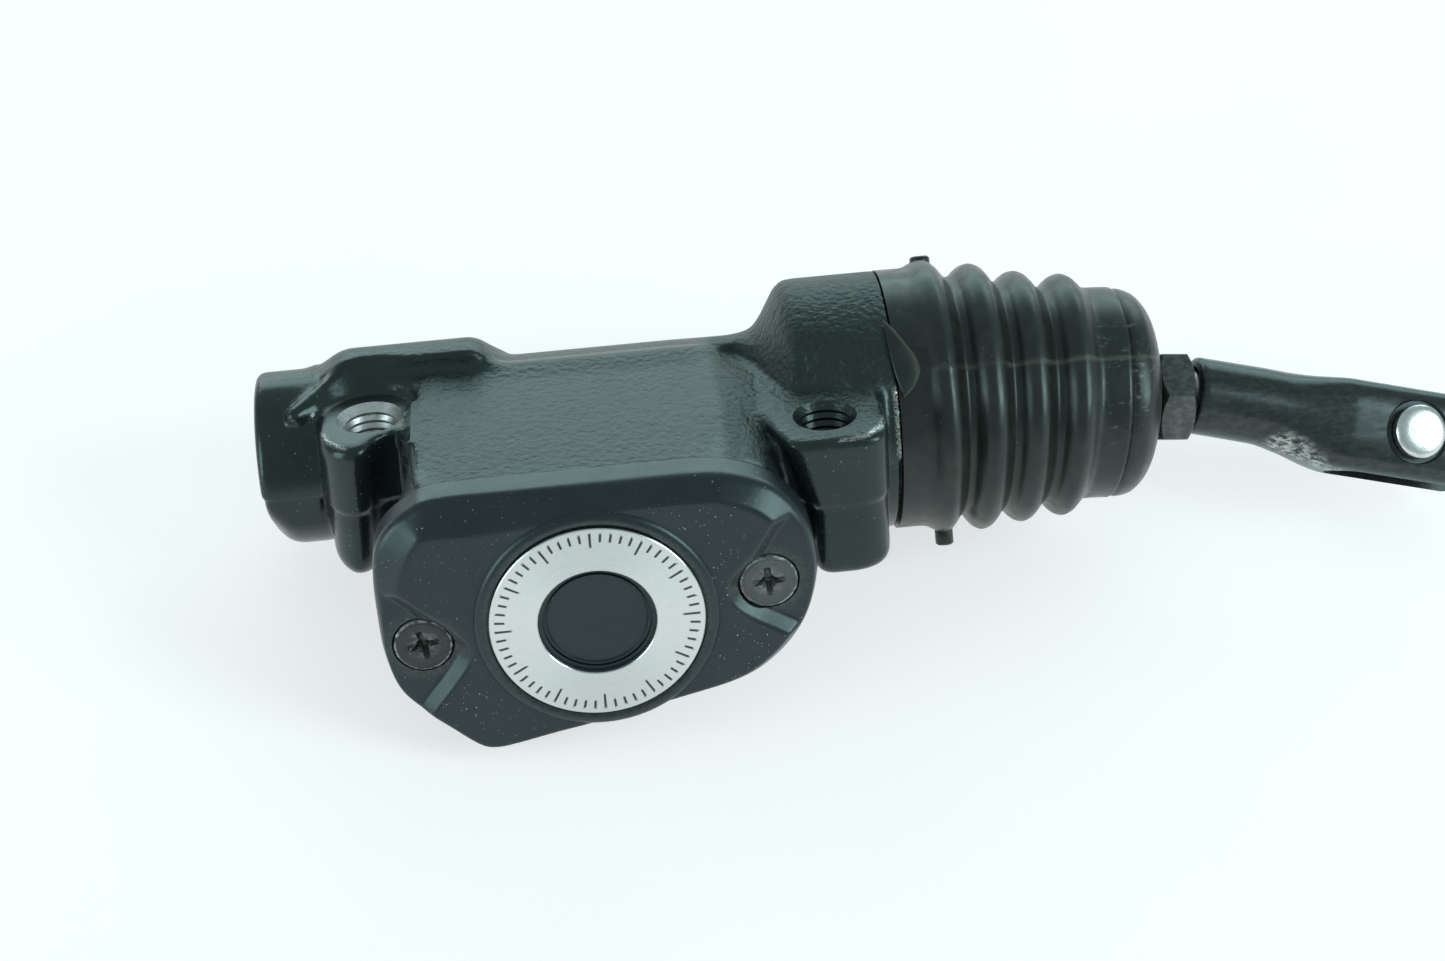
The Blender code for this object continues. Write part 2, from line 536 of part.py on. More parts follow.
clear_scene()
make_body()
make_cover()
make_label_ring()
make_cover_screw("cover_screw_left", SCREWS[0])
make_cover_screw("cover_screw_right", SCREWS[1])
make_diaphragm()
make_splash_plate()
make_piston()
make_cup("primary_cup", 0.0)
make_cup("secondary_cup", 33.8)
make_spring_cup()
make_springs()
make_boot()
make_push_rod()
make_rod_pieces()
make_clevis()
make_pin_group()
make_small_turned_pieces()
finish_looks({
    "cylinder_body": (SATIN_BLACK, 0.1, 0.45), "reservoir_cover": (SATIN_BLACK, 0.1, 0.5),
    "cover_label_ring": (ALUMINIUM, 1, 0.35), "cover_screw_left": (DARK_STEEL, 0.9, 0.5),
    "cover_screw_right": (DARK_STEEL, 0.9, 0.5), "reservoir_diaphragm": (RUBBER, 0, 0.8),
    "splash_plate": (STEEL, 1, 0.4), "outlet_seat": (STEEL, 1, 0.35), "piston": (ALUMINIUM, 1, 0.3),
    "primary_cup": (RUBBER, 0, 0.7), "secondary_cup": (RUBBER, 0, 0.7), "spring_cup": (STEEL, 1, 0.4),
    "piston_spring": (STEEL, 1, 0.35), "return_spring": (STEEL, 1, 0.4), "rubber_boot": (RUBBER, 0, 0.55),
    "push_rod": (STEEL, 1, 0.4), "jam_nut": (DARK_STEEL, 0.9, 0.4), "spring_seat_outer": (STEEL, 1, 0.45),
    "clevis": (DARK_STEEL, 0.8, 0.35), "clevis_pin": (ZINC, 1, 0.3), "pin_washer": (STEEL, 1, 0.4),
    "split_pin": (STEEL, 1, 0.4), "rod_retaining_washer": (STEEL, 1, 0.4), "spring_seat_inner": (STEEL, 1, 0.45),
    "retaining_ring": (DARK_STEEL, 0.9, 0.4),
})
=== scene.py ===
"""The looks of a motorcycle's rear brake master cylinder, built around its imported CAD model.

Shapes are in millimetres from the middle of the cylinder axis, as in the CAD: +X towards the push rod,
-Y towards the reservoir cover, +Z out of the mounting faces. world() turns them into metres in the frame.
The cast body and the cover are smooth unions sampled on a grid and skinned, then machined with Booleans.
"""

import itertools
import json
import math

import bpy
import numpy as np
from mathutils import Matrix, Vector

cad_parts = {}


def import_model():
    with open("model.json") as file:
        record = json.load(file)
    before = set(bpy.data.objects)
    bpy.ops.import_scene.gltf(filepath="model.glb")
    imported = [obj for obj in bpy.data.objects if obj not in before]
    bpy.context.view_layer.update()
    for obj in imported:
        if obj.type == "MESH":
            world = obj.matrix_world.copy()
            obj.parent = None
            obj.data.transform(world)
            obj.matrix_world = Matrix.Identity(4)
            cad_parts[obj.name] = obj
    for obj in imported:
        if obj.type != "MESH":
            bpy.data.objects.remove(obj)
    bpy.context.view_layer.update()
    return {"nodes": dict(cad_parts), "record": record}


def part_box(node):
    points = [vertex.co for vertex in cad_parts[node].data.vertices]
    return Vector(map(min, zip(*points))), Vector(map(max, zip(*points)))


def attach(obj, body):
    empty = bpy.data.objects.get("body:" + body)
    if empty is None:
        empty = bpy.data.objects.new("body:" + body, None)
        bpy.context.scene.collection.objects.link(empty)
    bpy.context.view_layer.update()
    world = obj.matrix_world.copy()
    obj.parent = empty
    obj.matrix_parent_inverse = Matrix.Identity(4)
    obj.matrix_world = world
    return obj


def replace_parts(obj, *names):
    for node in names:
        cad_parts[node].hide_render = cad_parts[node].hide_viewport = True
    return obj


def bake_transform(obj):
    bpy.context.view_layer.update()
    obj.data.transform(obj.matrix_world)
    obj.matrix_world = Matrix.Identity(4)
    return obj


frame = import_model()

MM = 0.001
PISTON_LOW, PISTON_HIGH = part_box("piston")
PISTON_START = -3.0
AXIS = Vector((PISTON_LOW.x - PISTON_START * MM, (PISTON_LOW.y + PISTON_HIGH.y) / 2,
               (PISTON_LOW.z + PISTON_HIGH.z) / 2))

# driving dimensions, the same as the CAD's
FACE_Z = 10.38
HOLE_1 = (-31.75, -10.05)
HOLE_2 = (31.75, -22.45)
HOLE_R, HOLE_MOUTH_R, HOLE_DEPTH = 3.55, 4.75, 9.0
BARREL_R, BARREL_END, RING_R = 11.8, -48.5, 12.63
BELL_R, BELL_END, SPIGOT_R = 19.1, 43.0, 17.2
BORE_R, NOSE_R = 6.35, 9.6
PORT_R = 4.3
JOINT_Y, COVER_FACE_Y = -33.0, -41.0
SCREWS = ((-26.3, -9.9), (21.3, -5.2))
SCREW_HEAD_R = 4.0
LABEL = (-2.41, -7.65)
LABEL_RIM_R, LABEL_OUT_R, LABEL_IN_R = 16.3, 14.7, 8.1
PIVOT_X, BEND_AT = 45.0, 46.9
ROD_TILT, CLEVIS_TILT = math.radians(6), math.radians(16)
ROD_R, NUT_FLATS, NUT_SPAN = 3.97, 12.7, (38.6, 43.7)
FORK_HALF, FORK_DROP, SLOT = 7.1, 1.2, 7.9
CLEVIS_START, CLEVIS_END = -2.7, 44.0
PIN_R = 3.17

COVER_EDGE = [
    (-22.5, 11.7), (-26.4, 10.2), (-29.5, 7.8), (-31.3, 4.7), (-32.0, 0.0), (-32.1, -6.0), (-31.9, -11.4),
    (-30.6, -16.9), (-27.8, -20.7), (-24.0, -24.1), (-20.8, -27.0), (-18.4, -27.8), (-15.6, -27.5),
    (-9.2, -26.3), (-3.4, -25.2), (7.9, -22.7), (16.9, -21.1), (22.3, -17.7), (26.1, -12.7), (28.0, -6.8),
    (28.2, -1.6), (26.6, 4.1), (22.9, 8.6), (18.1, 10.9), (12.4, 11.75), (0.0, 11.8), (-12.0, 11.8),
]
COVER_FLAT = [
    (-24.2, 7.5), (-25.6, 6.2), (-27.2, 3.3), (-28.6, -0.2), (-30.0, -6.0), (-30.6, -11.4),
    (-29.4, -16.5), (-27.0, -19.8), (-23.4, -23.3), (-20.3, -26.1), (-18.3, -26.9), (-15.6, -26.7),
    (-9.4, -25.4), (-3.6, -24.3), (7.6, -21.8), (16.2, -19.5), (21.0, -16.3), (24.5, -11.8), (26.3, -6.4),
    (25.8, -1.6), (24.2, 1.8), (20.9, 6.0), (16.6, 8.4), (12.6, 9.2), (0.0, 9.1), (-11.7, 7.9), (-18.5, 7.5),
]
WELL = [
    (-17.0, 8.6), (-20.2, 6.8), (-21.4, 2.5), (-21.4, -14.0), (-19.6, -20.2), (-16.5, -22.6), (-12.5, -22.8),
    (4.0, -19.2), (11.5, -17.2), (15.2, -13.8), (16.4, -9.0), (16.4, 2.0), (15.2, 6.6), (11.5, 8.6),
]
LEFT_POCKET = [(-36, 0.3), (-30.4, 0.3), (-25.4, -4.1), (-22.4, -6.7), (-20.1, -9.8), (-19.9, -12.1),
               (-22.1, -15.6), (-25.5, -19.8), (-27.5, -22.5), (-36, -24)]
RIGHT_POCKET = [(32, 11.0), (26, 8.3), (22.2, 4.6), (19.1, -0.1), (16.2, -3.4), (15.5, -5.6), (16.5, -8.0),
                (19.0, -10.3), (23.5, -13.2), (32, -19.0)]
BOOT_OUTSIDE = [
    (43.05, 19.15), (46.6, 19.15), (47.5, 19.3), (48.4, 19.75), (49.3, 20.15), (50.2, 20.25), (51.0, 19.9),
    (51.8, 19.1), (52.5, 18.15), (53.1, 17.7), (53.7, 17.85), (54.5, 18.7), (55.4, 19.45), (56.4, 19.75),
    (57.4, 19.45), (58.3, 18.6), (59.1, 17.5), (59.7, 17.05), (60.3, 17.2), (61.1, 17.95), (62.0, 18.5),
    (62.8, 18.65), (63.7, 18.35), (64.6, 17.5), (65.4, 16.5), (66.0, 16.15), (66.6, 16.3), (67.4, 17.1),
    (68.3, 17.75), (69.2, 18.0), (70.1, 17.7), (71.0, 16.9), (71.8, 16.05), (72.4, 15.75), (73.2, 15.7),
    (76.3, 15.68), (76.5, 15.45), (76.75, 15.2), (77.0, 15.4), (77.25, 15.5), (77.9, 15.42), (79.2, 15.0),
    (80.3, 14.1), (81.2, 12.9), (81.9, 11.2), (82.4, 9.2), (82.8, 6.8), (83.0, 4.4),
]
BOOT_INSIDE = [
    (43.05, 17.5), (49.0, 17.5), (50.2, 18.4), (51.4, 17.9), (53.0, 16.3), (54.6, 17.0), (56.4, 18.0),
    (58.2, 16.9), (59.7, 15.5), (61.2, 16.4), (62.8, 16.9), (64.5, 15.8), (66.0, 14.6), (67.6, 15.5),
    (69.2, 16.2), (71.0, 15.1), (72.6, 14.0), (77.4, 13.8), (79.4, 12.9), (81.0, 9.8), (81.5, 7.0),
    (81.7, 4.4),
]
BOOT_SPLIT, DOME_START, DOME_END, DOME_IN_END = 66.0, 78.0, 83.0, 81.7
SPRING_ROOM_R, END_FACE_R, SPOT_FACE_R = 15.4, 10.4, (7.3, 7.7)
SHARP, RUBBER_SHARP = 34, 60  # degrees between faces from which an edge stays sharp


# ---------------------------------------------------------------- meshes

def world(points):
    return np.asarray(points, float) * MM + np.array(AXIS)


def piece(name, points, faces, material=None, sharp=SHARP, flip_check=True):
    """A mesh object from points in millimetres, with its faces turned outwards."""
    mesh = bpy.data.meshes.new(name)
    mesh.from_pydata(world(points).tolist(), [], faces if isinstance(faces, list) else faces.tolist())
    mesh.validate()
    if flip_check:
        mesh.calc_loop_triangles()
        co = np.empty(len(mesh.vertices) * 3)
        mesh.vertices.foreach_get("co", co)
        tri = np.empty(len(mesh.loop_triangles) * 3, np.int32)
        mesh.loop_triangles.foreach_get("vertices", tri)
        corner = (co.reshape(-1, 3) - np.array(AXIS))[tri].reshape(-1, 3, 3)
        if np.einsum("ij,ij->i", corner[:, 0], np.cross(corner[:, 1], corner[:, 2])).sum() < 0:
            mesh.flip_normals()
    shade(mesh, sharp)
    if material:
        mesh.materials.append(material)
    obj = bpy.data.objects.new(name, mesh)
    bpy.context.scene.collection.objects.link(obj)
    return obj


def shade(mesh, sharp):
    mesh.polygons.foreach_set("use_smooth", [True] * len(mesh.polygons))
    mesh.set_sharp_from_angle(angle=math.radians(sharp))


def frame_of(direction):
    """Two unit vectors square to a direction and to each other."""
    d = np.array(Vector(direction).normalized())
    side = np.array((0, 0, 1.0)) if abs(d[2]) < 0.9 else np.array((0, 1.0, 0))
    u = np.cross(side, d)
    u /= np.linalg.norm(u)
    return u, np.cross(d, u)


def skin(rings, closed=False):
    """(points, faces) joining rings of equal count. A ring whose points agree is a tip."""
    rings = [np.asarray(r, float) for r in rings]
    n = len(rings[0])
    points, starts, tips = [], [], []
    for ring in rings:
        tip = np.ptp(ring, axis=0).max() < 1e-6
        starts.append(sum(len(p) for p in points))
        tips.append(tip)
        points.append(ring[:1] if tip else ring)
    faces = []
    pairs = [(i, i + 1) for i in range(len(rings) - 1)] + ([(len(rings) - 1, 0)] if closed else [])
    for i, j in pairs:
        a, b = starts[i], starts[j]
        for k in range(n):
            q = (k + 1) % n
            if tips[i] and tips[j]:
                continue
            if tips[i]:
                faces.append((a, b + q, b + k))
            elif tips[j]:
                faces.append((a + k, a + q, b))
            else:
                faces.append((a + k, a + q, b + q, b + k))
    if not closed:
        if not tips[0]:
            faces.append(tuple(starts[0] + k for k in reversed(range(n))))
        if not tips[-1]:
            faces.append(tuple(starts[-1] + k for k in range(n)))
    return np.concatenate(points), faces


def circle(centre, direction, radius, steps, turn=0.0):
    u, v = frame_of(direction)
    a = turn + np.arange(steps) * 2 * math.pi / steps
    return np.asarray(centre, float) + radius * (np.outer(np.cos(a), u) + np.outer(np.sin(a), v))


def turned(name, profile, material=None, steps=64, origin=(0, 0, 0), axis=(1, 0, 0), closed=False, turn=0.0,
           sharp=SHARP):
    """A turned piece from a profile of (distance along the axis, radius)."""
    way = np.array(Vector(axis).normalized())
    rings = [circle(np.asarray(origin, float) + way * s, way, r, steps, turn) for s, r in profile]
    return piece(name, *skin(rings, closed), material, sharp)


def plate(name, levels):
    """Joins outlines in X and Z, each given with its own y."""
    return piece(name, *skin([[(x, y, z) for x, z in outline] for y, outline in levels]))


def apply_modifiers(obj):
    """Gives an object the mesh that its modifiers make of it, without materials."""
    graph = bpy.context.evaluated_depsgraph_get()
    mesh = bpy.data.meshes.new_from_object(obj.evaluated_get(graph), depsgraph=graph)
    obj.modifiers.clear()
    mesh.materials.clear()
    obj.data = mesh


def machine(target, operation, cutters, sharp=SHARP):
    """Applies a Boolean with each cutter and removes the cutters."""
    for cutter in cutters:
        step = target.modifiers.new(cutter.name, "BOOLEAN")
        step.operation, step.solver, step.object = operation, "MANIFOLD", cutter
    apply_modifiers(target)
    for cutter in cutters:
        bpy.data.objects.remove(cutter, do_unlink=True)
    shade(target.data, sharp)


def softened(obj, width):
    """Rounds a machined mesh's sharp edges by a small bevel."""
    step = obj.modifiers.new("soften", "BEVEL")
    step.width, step.segments, step.limit_method = width * MM, 2, "ANGLE"
    step.angle_limit = math.radians(40)
    apply_modifiers(obj)
    shade(obj.data, 50)


def smooth_loop(outline, per_side=6):
    """A closed outline with its corners rounded by a Catmull-Rom curve."""
    p = np.asarray(outline, float)
    made = []
    for i in range(len(p)):
        a, b, c, d = p[i - 1], p[i], p[(i + 1) % len(p)], p[(i + 2) % len(p)]
        for t in np.arange(per_side) / per_side:
            made.append(0.5 * (2 * b + (c - a) * t + (2 * a - 5 * b + 4 * c - d) * t * t
                               + (3 * b - a - 3 * c + d) * t ** 3))
    return np.array(made)


def monotone(points):
    """A smooth curve through points of rising x that doesn't overshoot them."""
    x, y = np.array(points, float).T
    h, slope = np.diff(x), np.diff(y) / np.diff(x)
    m = np.zeros(len(x))
    for i in range(1, len(x) - 1):
        if slope[i - 1] * slope[i] > 0:
            w1, w2 = 2 * h[i] + h[i - 1], h[i] + 2 * h[i - 1]
            m[i] = (w1 + w2) / (w1 / slope[i - 1] + w2 / slope[i])
    m[0], m[-1] = slope[0], slope[-1]

    def at(v):
        v = np.clip(v, x[0], x[-1])
        i = np.clip(np.searchsorted(x, v, side="right") - 1, 0, len(h) - 1)
        t = (v - x[i]) / h[i]
        return ((2 * t ** 3 - 3 * t ** 2 + 1) * y[i] + (t ** 3 - 2 * t ** 2 + t) * h[i] * m[i]
                + (3 * t ** 2 - 2 * t ** 3) * y[i + 1] + (t ** 3 - t ** 2) * h[i] * m[i + 1])
    return at


def inset(outline, by):
    """The outline drawn in towards its middle by a distance."""
    p = np.asarray(outline, float)
    arm = p - p.mean(0)
    return p.mean(0) + arm * (1 - by / np.linalg.norm(arm, axis=1))[:, None]


# ---------------------------------------------------------------- smooth solids on a grid

class Grid:
    """Sample points in millimetres, as three arrays that broadcast over each other."""

    def __init__(self, low, high, step):
        self.low, self.step = np.array(low, float), step
        axes = [np.arange(a, b + step, step, dtype=np.float32) for a, b in zip(low, high)]
        self.x, self.y, self.z = (a.reshape([-1 if i == k else 1 for k in range(3)])
                                  for i, a in enumerate(axes))

    def skin(self, field):
        """(points, faces) of the surface where the field is 0: one point in each cell that it crosses."""
        inside = field < 0
        shape = np.array(field.shape) - 1
        count = np.zeros(shape, np.int8)
        for i, j, k in itertools.product((0, 1), repeat=3):
            count += inside[i:shape[0] + i, j:shape[1] + j, k:shape[2] + k]
        cells = np.argwhere((count > 0) & (count < 8))
        index = np.full(shape, -1, np.int32)
        index[tuple(cells.T)] = np.arange(len(cells))
        total, hits = np.zeros((len(cells), 3)), np.zeros(len(cells))
        for a in range(3):
            for j, k in itertools.product((0, 1), repeat=2):
                start = np.insert(np.array((j, k)), a, 0)
                end = start.copy()
                end[a] = 1
                f0, f1 = (field[tuple((cells + c).T)].astype(float) for c in (start, end))
                cross = (f0 < 0) != (f1 < 0)
                t = np.where(cross, f0 / np.where(cross, f0 - f1, 1), 0)
                total += np.where(cross[:, None], start + (end - start) * t[:, None], 0)
                hits += cross
        points = cells + total / hits[:, None]
        for _ in range(3):
            value, slope = self.sample(field, points)
            move = -value[:, None] * slope / np.maximum((slope ** 2).sum(1), 0.05)[:, None]
            points = np.clip(points + np.clip(move, -0.3, 0.3), cells - 0.2, cells + 1.2)
        faces = []
        for a in range(3):
            b, c = (a + 1) % 3, (a + 2) % 3
            first = inside[tuple(slice(0, -1) if i == a else slice(1, -1) for i in range(3))]
            second = inside[tuple(slice(1, None) if i == a else slice(1, -1) for i in range(3))]
            at = np.argwhere(first != second)
            out = first[tuple(at.T)]
            at = at + [0 if i == a else 1 for i in range(3)]
            steps = np.zeros((4, 3), int)
            steps[1, b] = steps[2, b] = steps[2, c] = steps[3, c] = -1
            quad = np.stack([index[tuple((at + s).T)] for s in steps], 1)
            quad[~out] = quad[~out][:, ::-1]
            faces.append(quad)
        return points * self.step + self.low, np.concatenate(faces)

    def sample(self, field, points):
        """The field and its slope at points in grid units."""
        p = np.clip(points, 0, np.array(field.shape) - 1.001)
        base = p.astype(int)
        f = p - base
        value, slope = np.zeros(len(p)), np.zeros((len(p), 3))
        for corner in itertools.product((0, 1), repeat=3):
            v = field[tuple((base + corner).T)].astype(float)
            w = [f[:, i] if corner[i] else 1 - f[:, i] for i in range(3)]
            value += v * w[0] * w[1] * w[2]
            for i in range(3):
                others = w[(i + 1) % 3] * w[(i + 2) % 3]
                slope[:, i] += v * others * (1 if corner[i] else -1)
        return value, slope


def union(a, b, k):
    """A smooth union: k is how far from the meeting line the fillet starts."""
    h = np.maximum(k - np.abs(a - b), 0) / k
    return np.minimum(a, b) - h * h * (k / 4)


def both(a, b, k):
    return -union(-a, -b, k)


def without(a, b, k):
    return -union(-a, b, k)


def joined(solid, *others):
    """Smooth unions in turn, each other solid given with its k."""
    for other, k in others:
        solid = union(solid, other, k)
    return solid


def trimmed(solid, *cuts):
    """What is inside a solid and inside each cut in turn, each cut given with its k."""
    for cut, k in cuts:
        solid = both(solid, cut, k)
    return solid


def outline_distance(outline, a, b):
    """Signed distance from points (a, b) to a closed outline, negative inside."""
    p = np.asarray(outline, float)
    shape = np.broadcast(a, b).shape
    best, inside = np.full(shape, 1e9), np.zeros(shape, bool)
    for (x0, y0), (x1, y1) in zip(p, np.roll(p, -1, 0)):
        ex, ey = x1 - x0, y1 - y0
        t = np.clip(((a - x0) * ex + (b - y0) * ey) / (ex * ex + ey * ey + 1e-12), 0, 1)
        best = np.minimum(best, (a - x0 - t * ex) ** 2 + (b - y0 - t * ey) ** 2)
        if abs(ey) > 1e-9:
            inside ^= ((y0 > b) != (y1 > b)) & (a < ex * (b - y0) / ey + x0)
    return np.where(inside, -1, 1) * np.sqrt(best)


def plane(g, normal, point):
    """Signed distance in front of a plane, negative behind it."""
    n = np.array(normal, float) / np.linalg.norm(normal)
    return (g.x - point[0]) * n[0] + (g.y - point[1]) * n[1] + (g.z - point[2]) * n[2]


def between(v, low, high):
    t = np.clip((v - low) / (high - low), 0, 1)
    return t * t * (3 - 2 * t)


# ---------------------------------------------------------------- materials

class Shader:
    """A Principled material built node by node."""

    def __init__(self, name, colour, metallic, roughness, **more):
        self.material = bpy.data.materials.new(name)
        self.material.use_nodes = True
        self.tree = self.material.node_tree
        self.bsdf = self.tree.nodes["Principled BSDF"]
        self.bsdf.inputs["Base Color"].default_value = (*colour, 1)
        self.bsdf.inputs["Metallic"].default_value = metallic
        self.bsdf.inputs["Roughness"].default_value = roughness
        for socket, value in more.items():
            self.bsdf.inputs[socket.replace("_", " ")].default_value = value
        self.place = self.node("ShaderNodeTexCoord").outputs["Object"]
        self.normal = None

    def node(self, kind, **settings):
        made = self.tree.nodes.new(kind)
        for key, value in settings.items():
            setattr(made, key, value)
        return made

    def link(self, source, target):
        self.tree.links.new(source, target)

    def feed(self, socket, value):
        if isinstance(value, (int, float)):
            socket.default_value = value
        elif isinstance(value, tuple):
            opaque = len(value) == 3 and len(socket.default_value) == 4
            socket.default_value = (*value, 1) if opaque else value
        else:
            self.link(value, socket)

    def math(self, operation, a, b=0.0):
        made = self.node("ShaderNodeMath", operation=operation)
        for socket, value in zip(made.inputs, (a, b)):
            self.feed(socket, value)
        return made.outputs[0]

    def times(self, a, b):
        return self.math("MULTIPLY", a, b)

    def texture(self, kind, scale, stretch=(1, 1, 1), shift=(0, 0, 0)):
        """A texture node with about `scale` cells to a millimetre."""
        mapping = self.node("ShaderNodeMapping")
        self.link(self.place, mapping.inputs["Vector"])
        mapping.inputs["Scale"].default_value = [s * scale / MM for s in stretch]
        mapping.inputs["Location"].default_value = shift
        made = self.node(kind)
        self.link(mapping.outputs[0], made.inputs["Vector"])
        made.inputs["Scale"].default_value = 1.0
        return made

    def noise(self, scale, detail, rough, stretch=(1, 1, 1)):
        """Noise with about `scale` bumps to a millimetre, from 0 to 1."""
        made = self.texture("ShaderNodeTexNoise", scale, stretch)
        made.inputs["Detail"].default_value = detail
        made.inputs["Roughness"].default_value = rough
        return made.outputs["Fac"]

    def specks(self, scale, size, share, shift=(0, 0, 0)):
        """Small round specks: 1 in a speck. size is a share of a cell, share is how many cells hold one."""
        cells = self.texture("ShaderNodeTexVoronoi", scale, shift=shift)
        split = self.node("ShaderNodeSeparateColor")
        self.link(cells.outputs["Color"], split.inputs[0])
        reach = self.times(split.outputs[1], size)
        near = self.math("LESS_THAN", cells.outputs["Distance"], reach)
        kept = self.math("LESS_THAN", split.outputs[0], share)
        return self.times(near, kept)

    def ramp(self, value, low, high, out_low=0.0, out_high=1.0):
        """A smooth step between two values."""
        made = self.node("ShaderNodeMapRange", interpolation_type="SMOOTHSTEP")
        for socket, v in zip(made.inputs, (value, low, high, out_low, out_high)):
            self.feed(socket, v)
        return made.outputs[0]

    def mask(self, name):
        return self.node("ShaderNodeAttribute", attribute_name=name).outputs["Fac"]

    def mix(self, share, a, b):
        made = self.node("ShaderNodeMix", data_type="RGBA")
        self.feed(made.inputs["Factor"], share)
        self.feed(made.inputs[6], a)
        self.feed(made.inputs[7], b)
        return made.outputs[2]

    def set(self, socket, value):
        self.feed(self.bsdf.inputs[socket], value)

    def bump(self, height, depth):
        """Raises the surface by `depth` millimetres where height is 1."""
        made = self.node("ShaderNodeBump")
        made.inputs["Distance"].default_value = depth * MM
        self.link(height, made.inputs["Height"])
        if self.normal is not None:
            self.link(self.normal, made.inputs["Normal"])
        self.normal = made.outputs["Normal"]
        self.link(self.normal, self.bsdf.inputs["Normal"])


def cast_paint():
    s = Shader("cast_paint", (0.012, 0.0145, 0.016), 0.0, 0.33, Specular_Tint=(0.8, 1.0, 1.0, 1))
    rough_cast, wear_and_highlight, dust = s.mask("cast"), s.mask("wear_and_highlight"), s.mask("dust")
    pebble = s.noise(1.05, 2.0, 0.5)
    fine = s.noise(3.4, 2.0, 0.6)
    height = s.math("ADD", s.times(pebble, rough_cast), s.times(fine, 0.07))
    s.bump(height, 0.34)
    # bare metal where the paint is worn off edges; beside the bell the same bare-metal colour is a painted
    # highlight
    wear_and_glint = s.times(wear_and_highlight, s.ramp(s.noise(3.2, 4.0, 0.75), 0.42, 0.6))
    specks = s.math("MAXIMUM", s.specks(1.1, 0.13, 0.5), s.specks(2.3, 0.16, 0.3))
    specks = s.times(specks, dust)
    haze = s.times(s.ramp(s.noise(0.16, 4.0, 0.6), 0.35, 0.8), 0.4)
    paint = s.mix(haze, (0.009, 0.0125, 0.013), (0.021, 0.027, 0.027))
    dusty = s.mix(s.times(specks, 0.8), paint, (0.26, 0.27, 0.24))
    s.set("Base Color", s.mix(wear_and_glint, dusty, (0.66, 0.66, 0.62)))
    s.set("Metallic", wear_and_glint)
    gloss = s.ramp(rough_cast, 0.0, 1.0, 0.17, 0.40)
    s.set("Roughness", s.math("ADD", gloss, s.times(s.noise(0.5, 3.0, 0.6), 0.10)))
    return s.material


def machined_metal(name, colour, roughness):
    s = Shader(name, colour, 1.0, roughness)
    lines = s.noise(0.9, 3.0, 0.6, (1, 14, 14))
    s.bump(lines, 0.02)
    stain = s.ramp(s.noise(0.5, 4.0, 0.6), 0.4, 0.75)
    dark = tuple(c * 0.55 for c in colour)
    s.set("Base Color", s.mix(stain, colour, dark))
    s.set("Roughness", s.ramp(lines, 0.2, 0.8, roughness * 0.8, roughness * 1.3))
    return s.material


def cover_paint():
    s = Shader("cover_paint", (0.012, 0.014, 0.02), 0.0, 0.4, Specular_Tint=(0.8, 0.98, 1.0, 1))
    fine = s.noise(4.5, 2.0, 0.6)
    s.bump(fine, 0.01)
    specks = s.math("MAXIMUM", s.specks(1.0, 0.11, 0.5), s.specks(2.1, 0.15, 0.4, (3, 1, 2)))
    patchy = s.times(specks, s.ramp(s.noise(0.06, 3.0, 0.6), 0.38, 0.6, 0.2, 1.0))
    grime = s.times(s.mask("grime"), s.ramp(s.noise(1.3, 4.0, 0.7), 0.3, 0.7))
    paint = s.mix(s.ramp(s.noise(0.12, 4.0, 0.6), 0.3, 0.8), (0.010, 0.014, 0.018), (0.015, 0.02, 0.024))
    dirty = s.mix(s.times(grime, 0.4), paint, (0.12, 0.12, 0.10))
    s.set("Base Color", s.mix(s.times(patchy, 0.9), dirty, (0.42, 0.42, 0.38)))
    s.set("Roughness", s.math("ADD", s.ramp(s.noise(0.3, 4.0, 0.6), 0.2, 0.8, 0.26, 0.34),
                              s.times(patchy, 0.3)))
    return s.material


def rubber(name, dust_amount):
    s = Shader(name, (0.02, 0.019, 0.018), 0.0, 0.4, Specular_Tint=(0.85, 1.0, 0.97, 1))
    s.bump(s.noise(3.0, 3.0, 0.6), 0.012)
    streak = s.noise(0.3, 4.0, 0.6)
    haze = s.times(s.ramp(streak, 0.4, 0.8), dust_amount)
    base = s.mix(haze, (0.0105, 0.012, 0.0112), (0.022, 0.024, 0.021))
    # lighter along the mould seam; on the loose flap's rim this lighter colour is a painted highlight
    base = s.mix(s.times(s.mask("wear_and_highlight"), 0.6), base, (0.10, 0.10, 0.088))
    specks = s.times(s.specks(1.0, 0.12, 0.4), 0.5)
    scuffs = s.times(s.mask("scuff"), s.ramp(s.noise(1.1, 5.0, 0.7, (0.4, 1, 1)), 0.56, 0.66))
    marked = s.mix(s.times(scuffs, 0.3), base, (0.3, 0.3, 0.27))
    s.set("Base Color", s.mix(specks, marked, (0.16, 0.16, 0.14)))
    s.set("Roughness", s.ramp(s.noise(0.4, 4.0, 0.6), 0.25, 0.8, 0.27, 0.42))
    return s.material


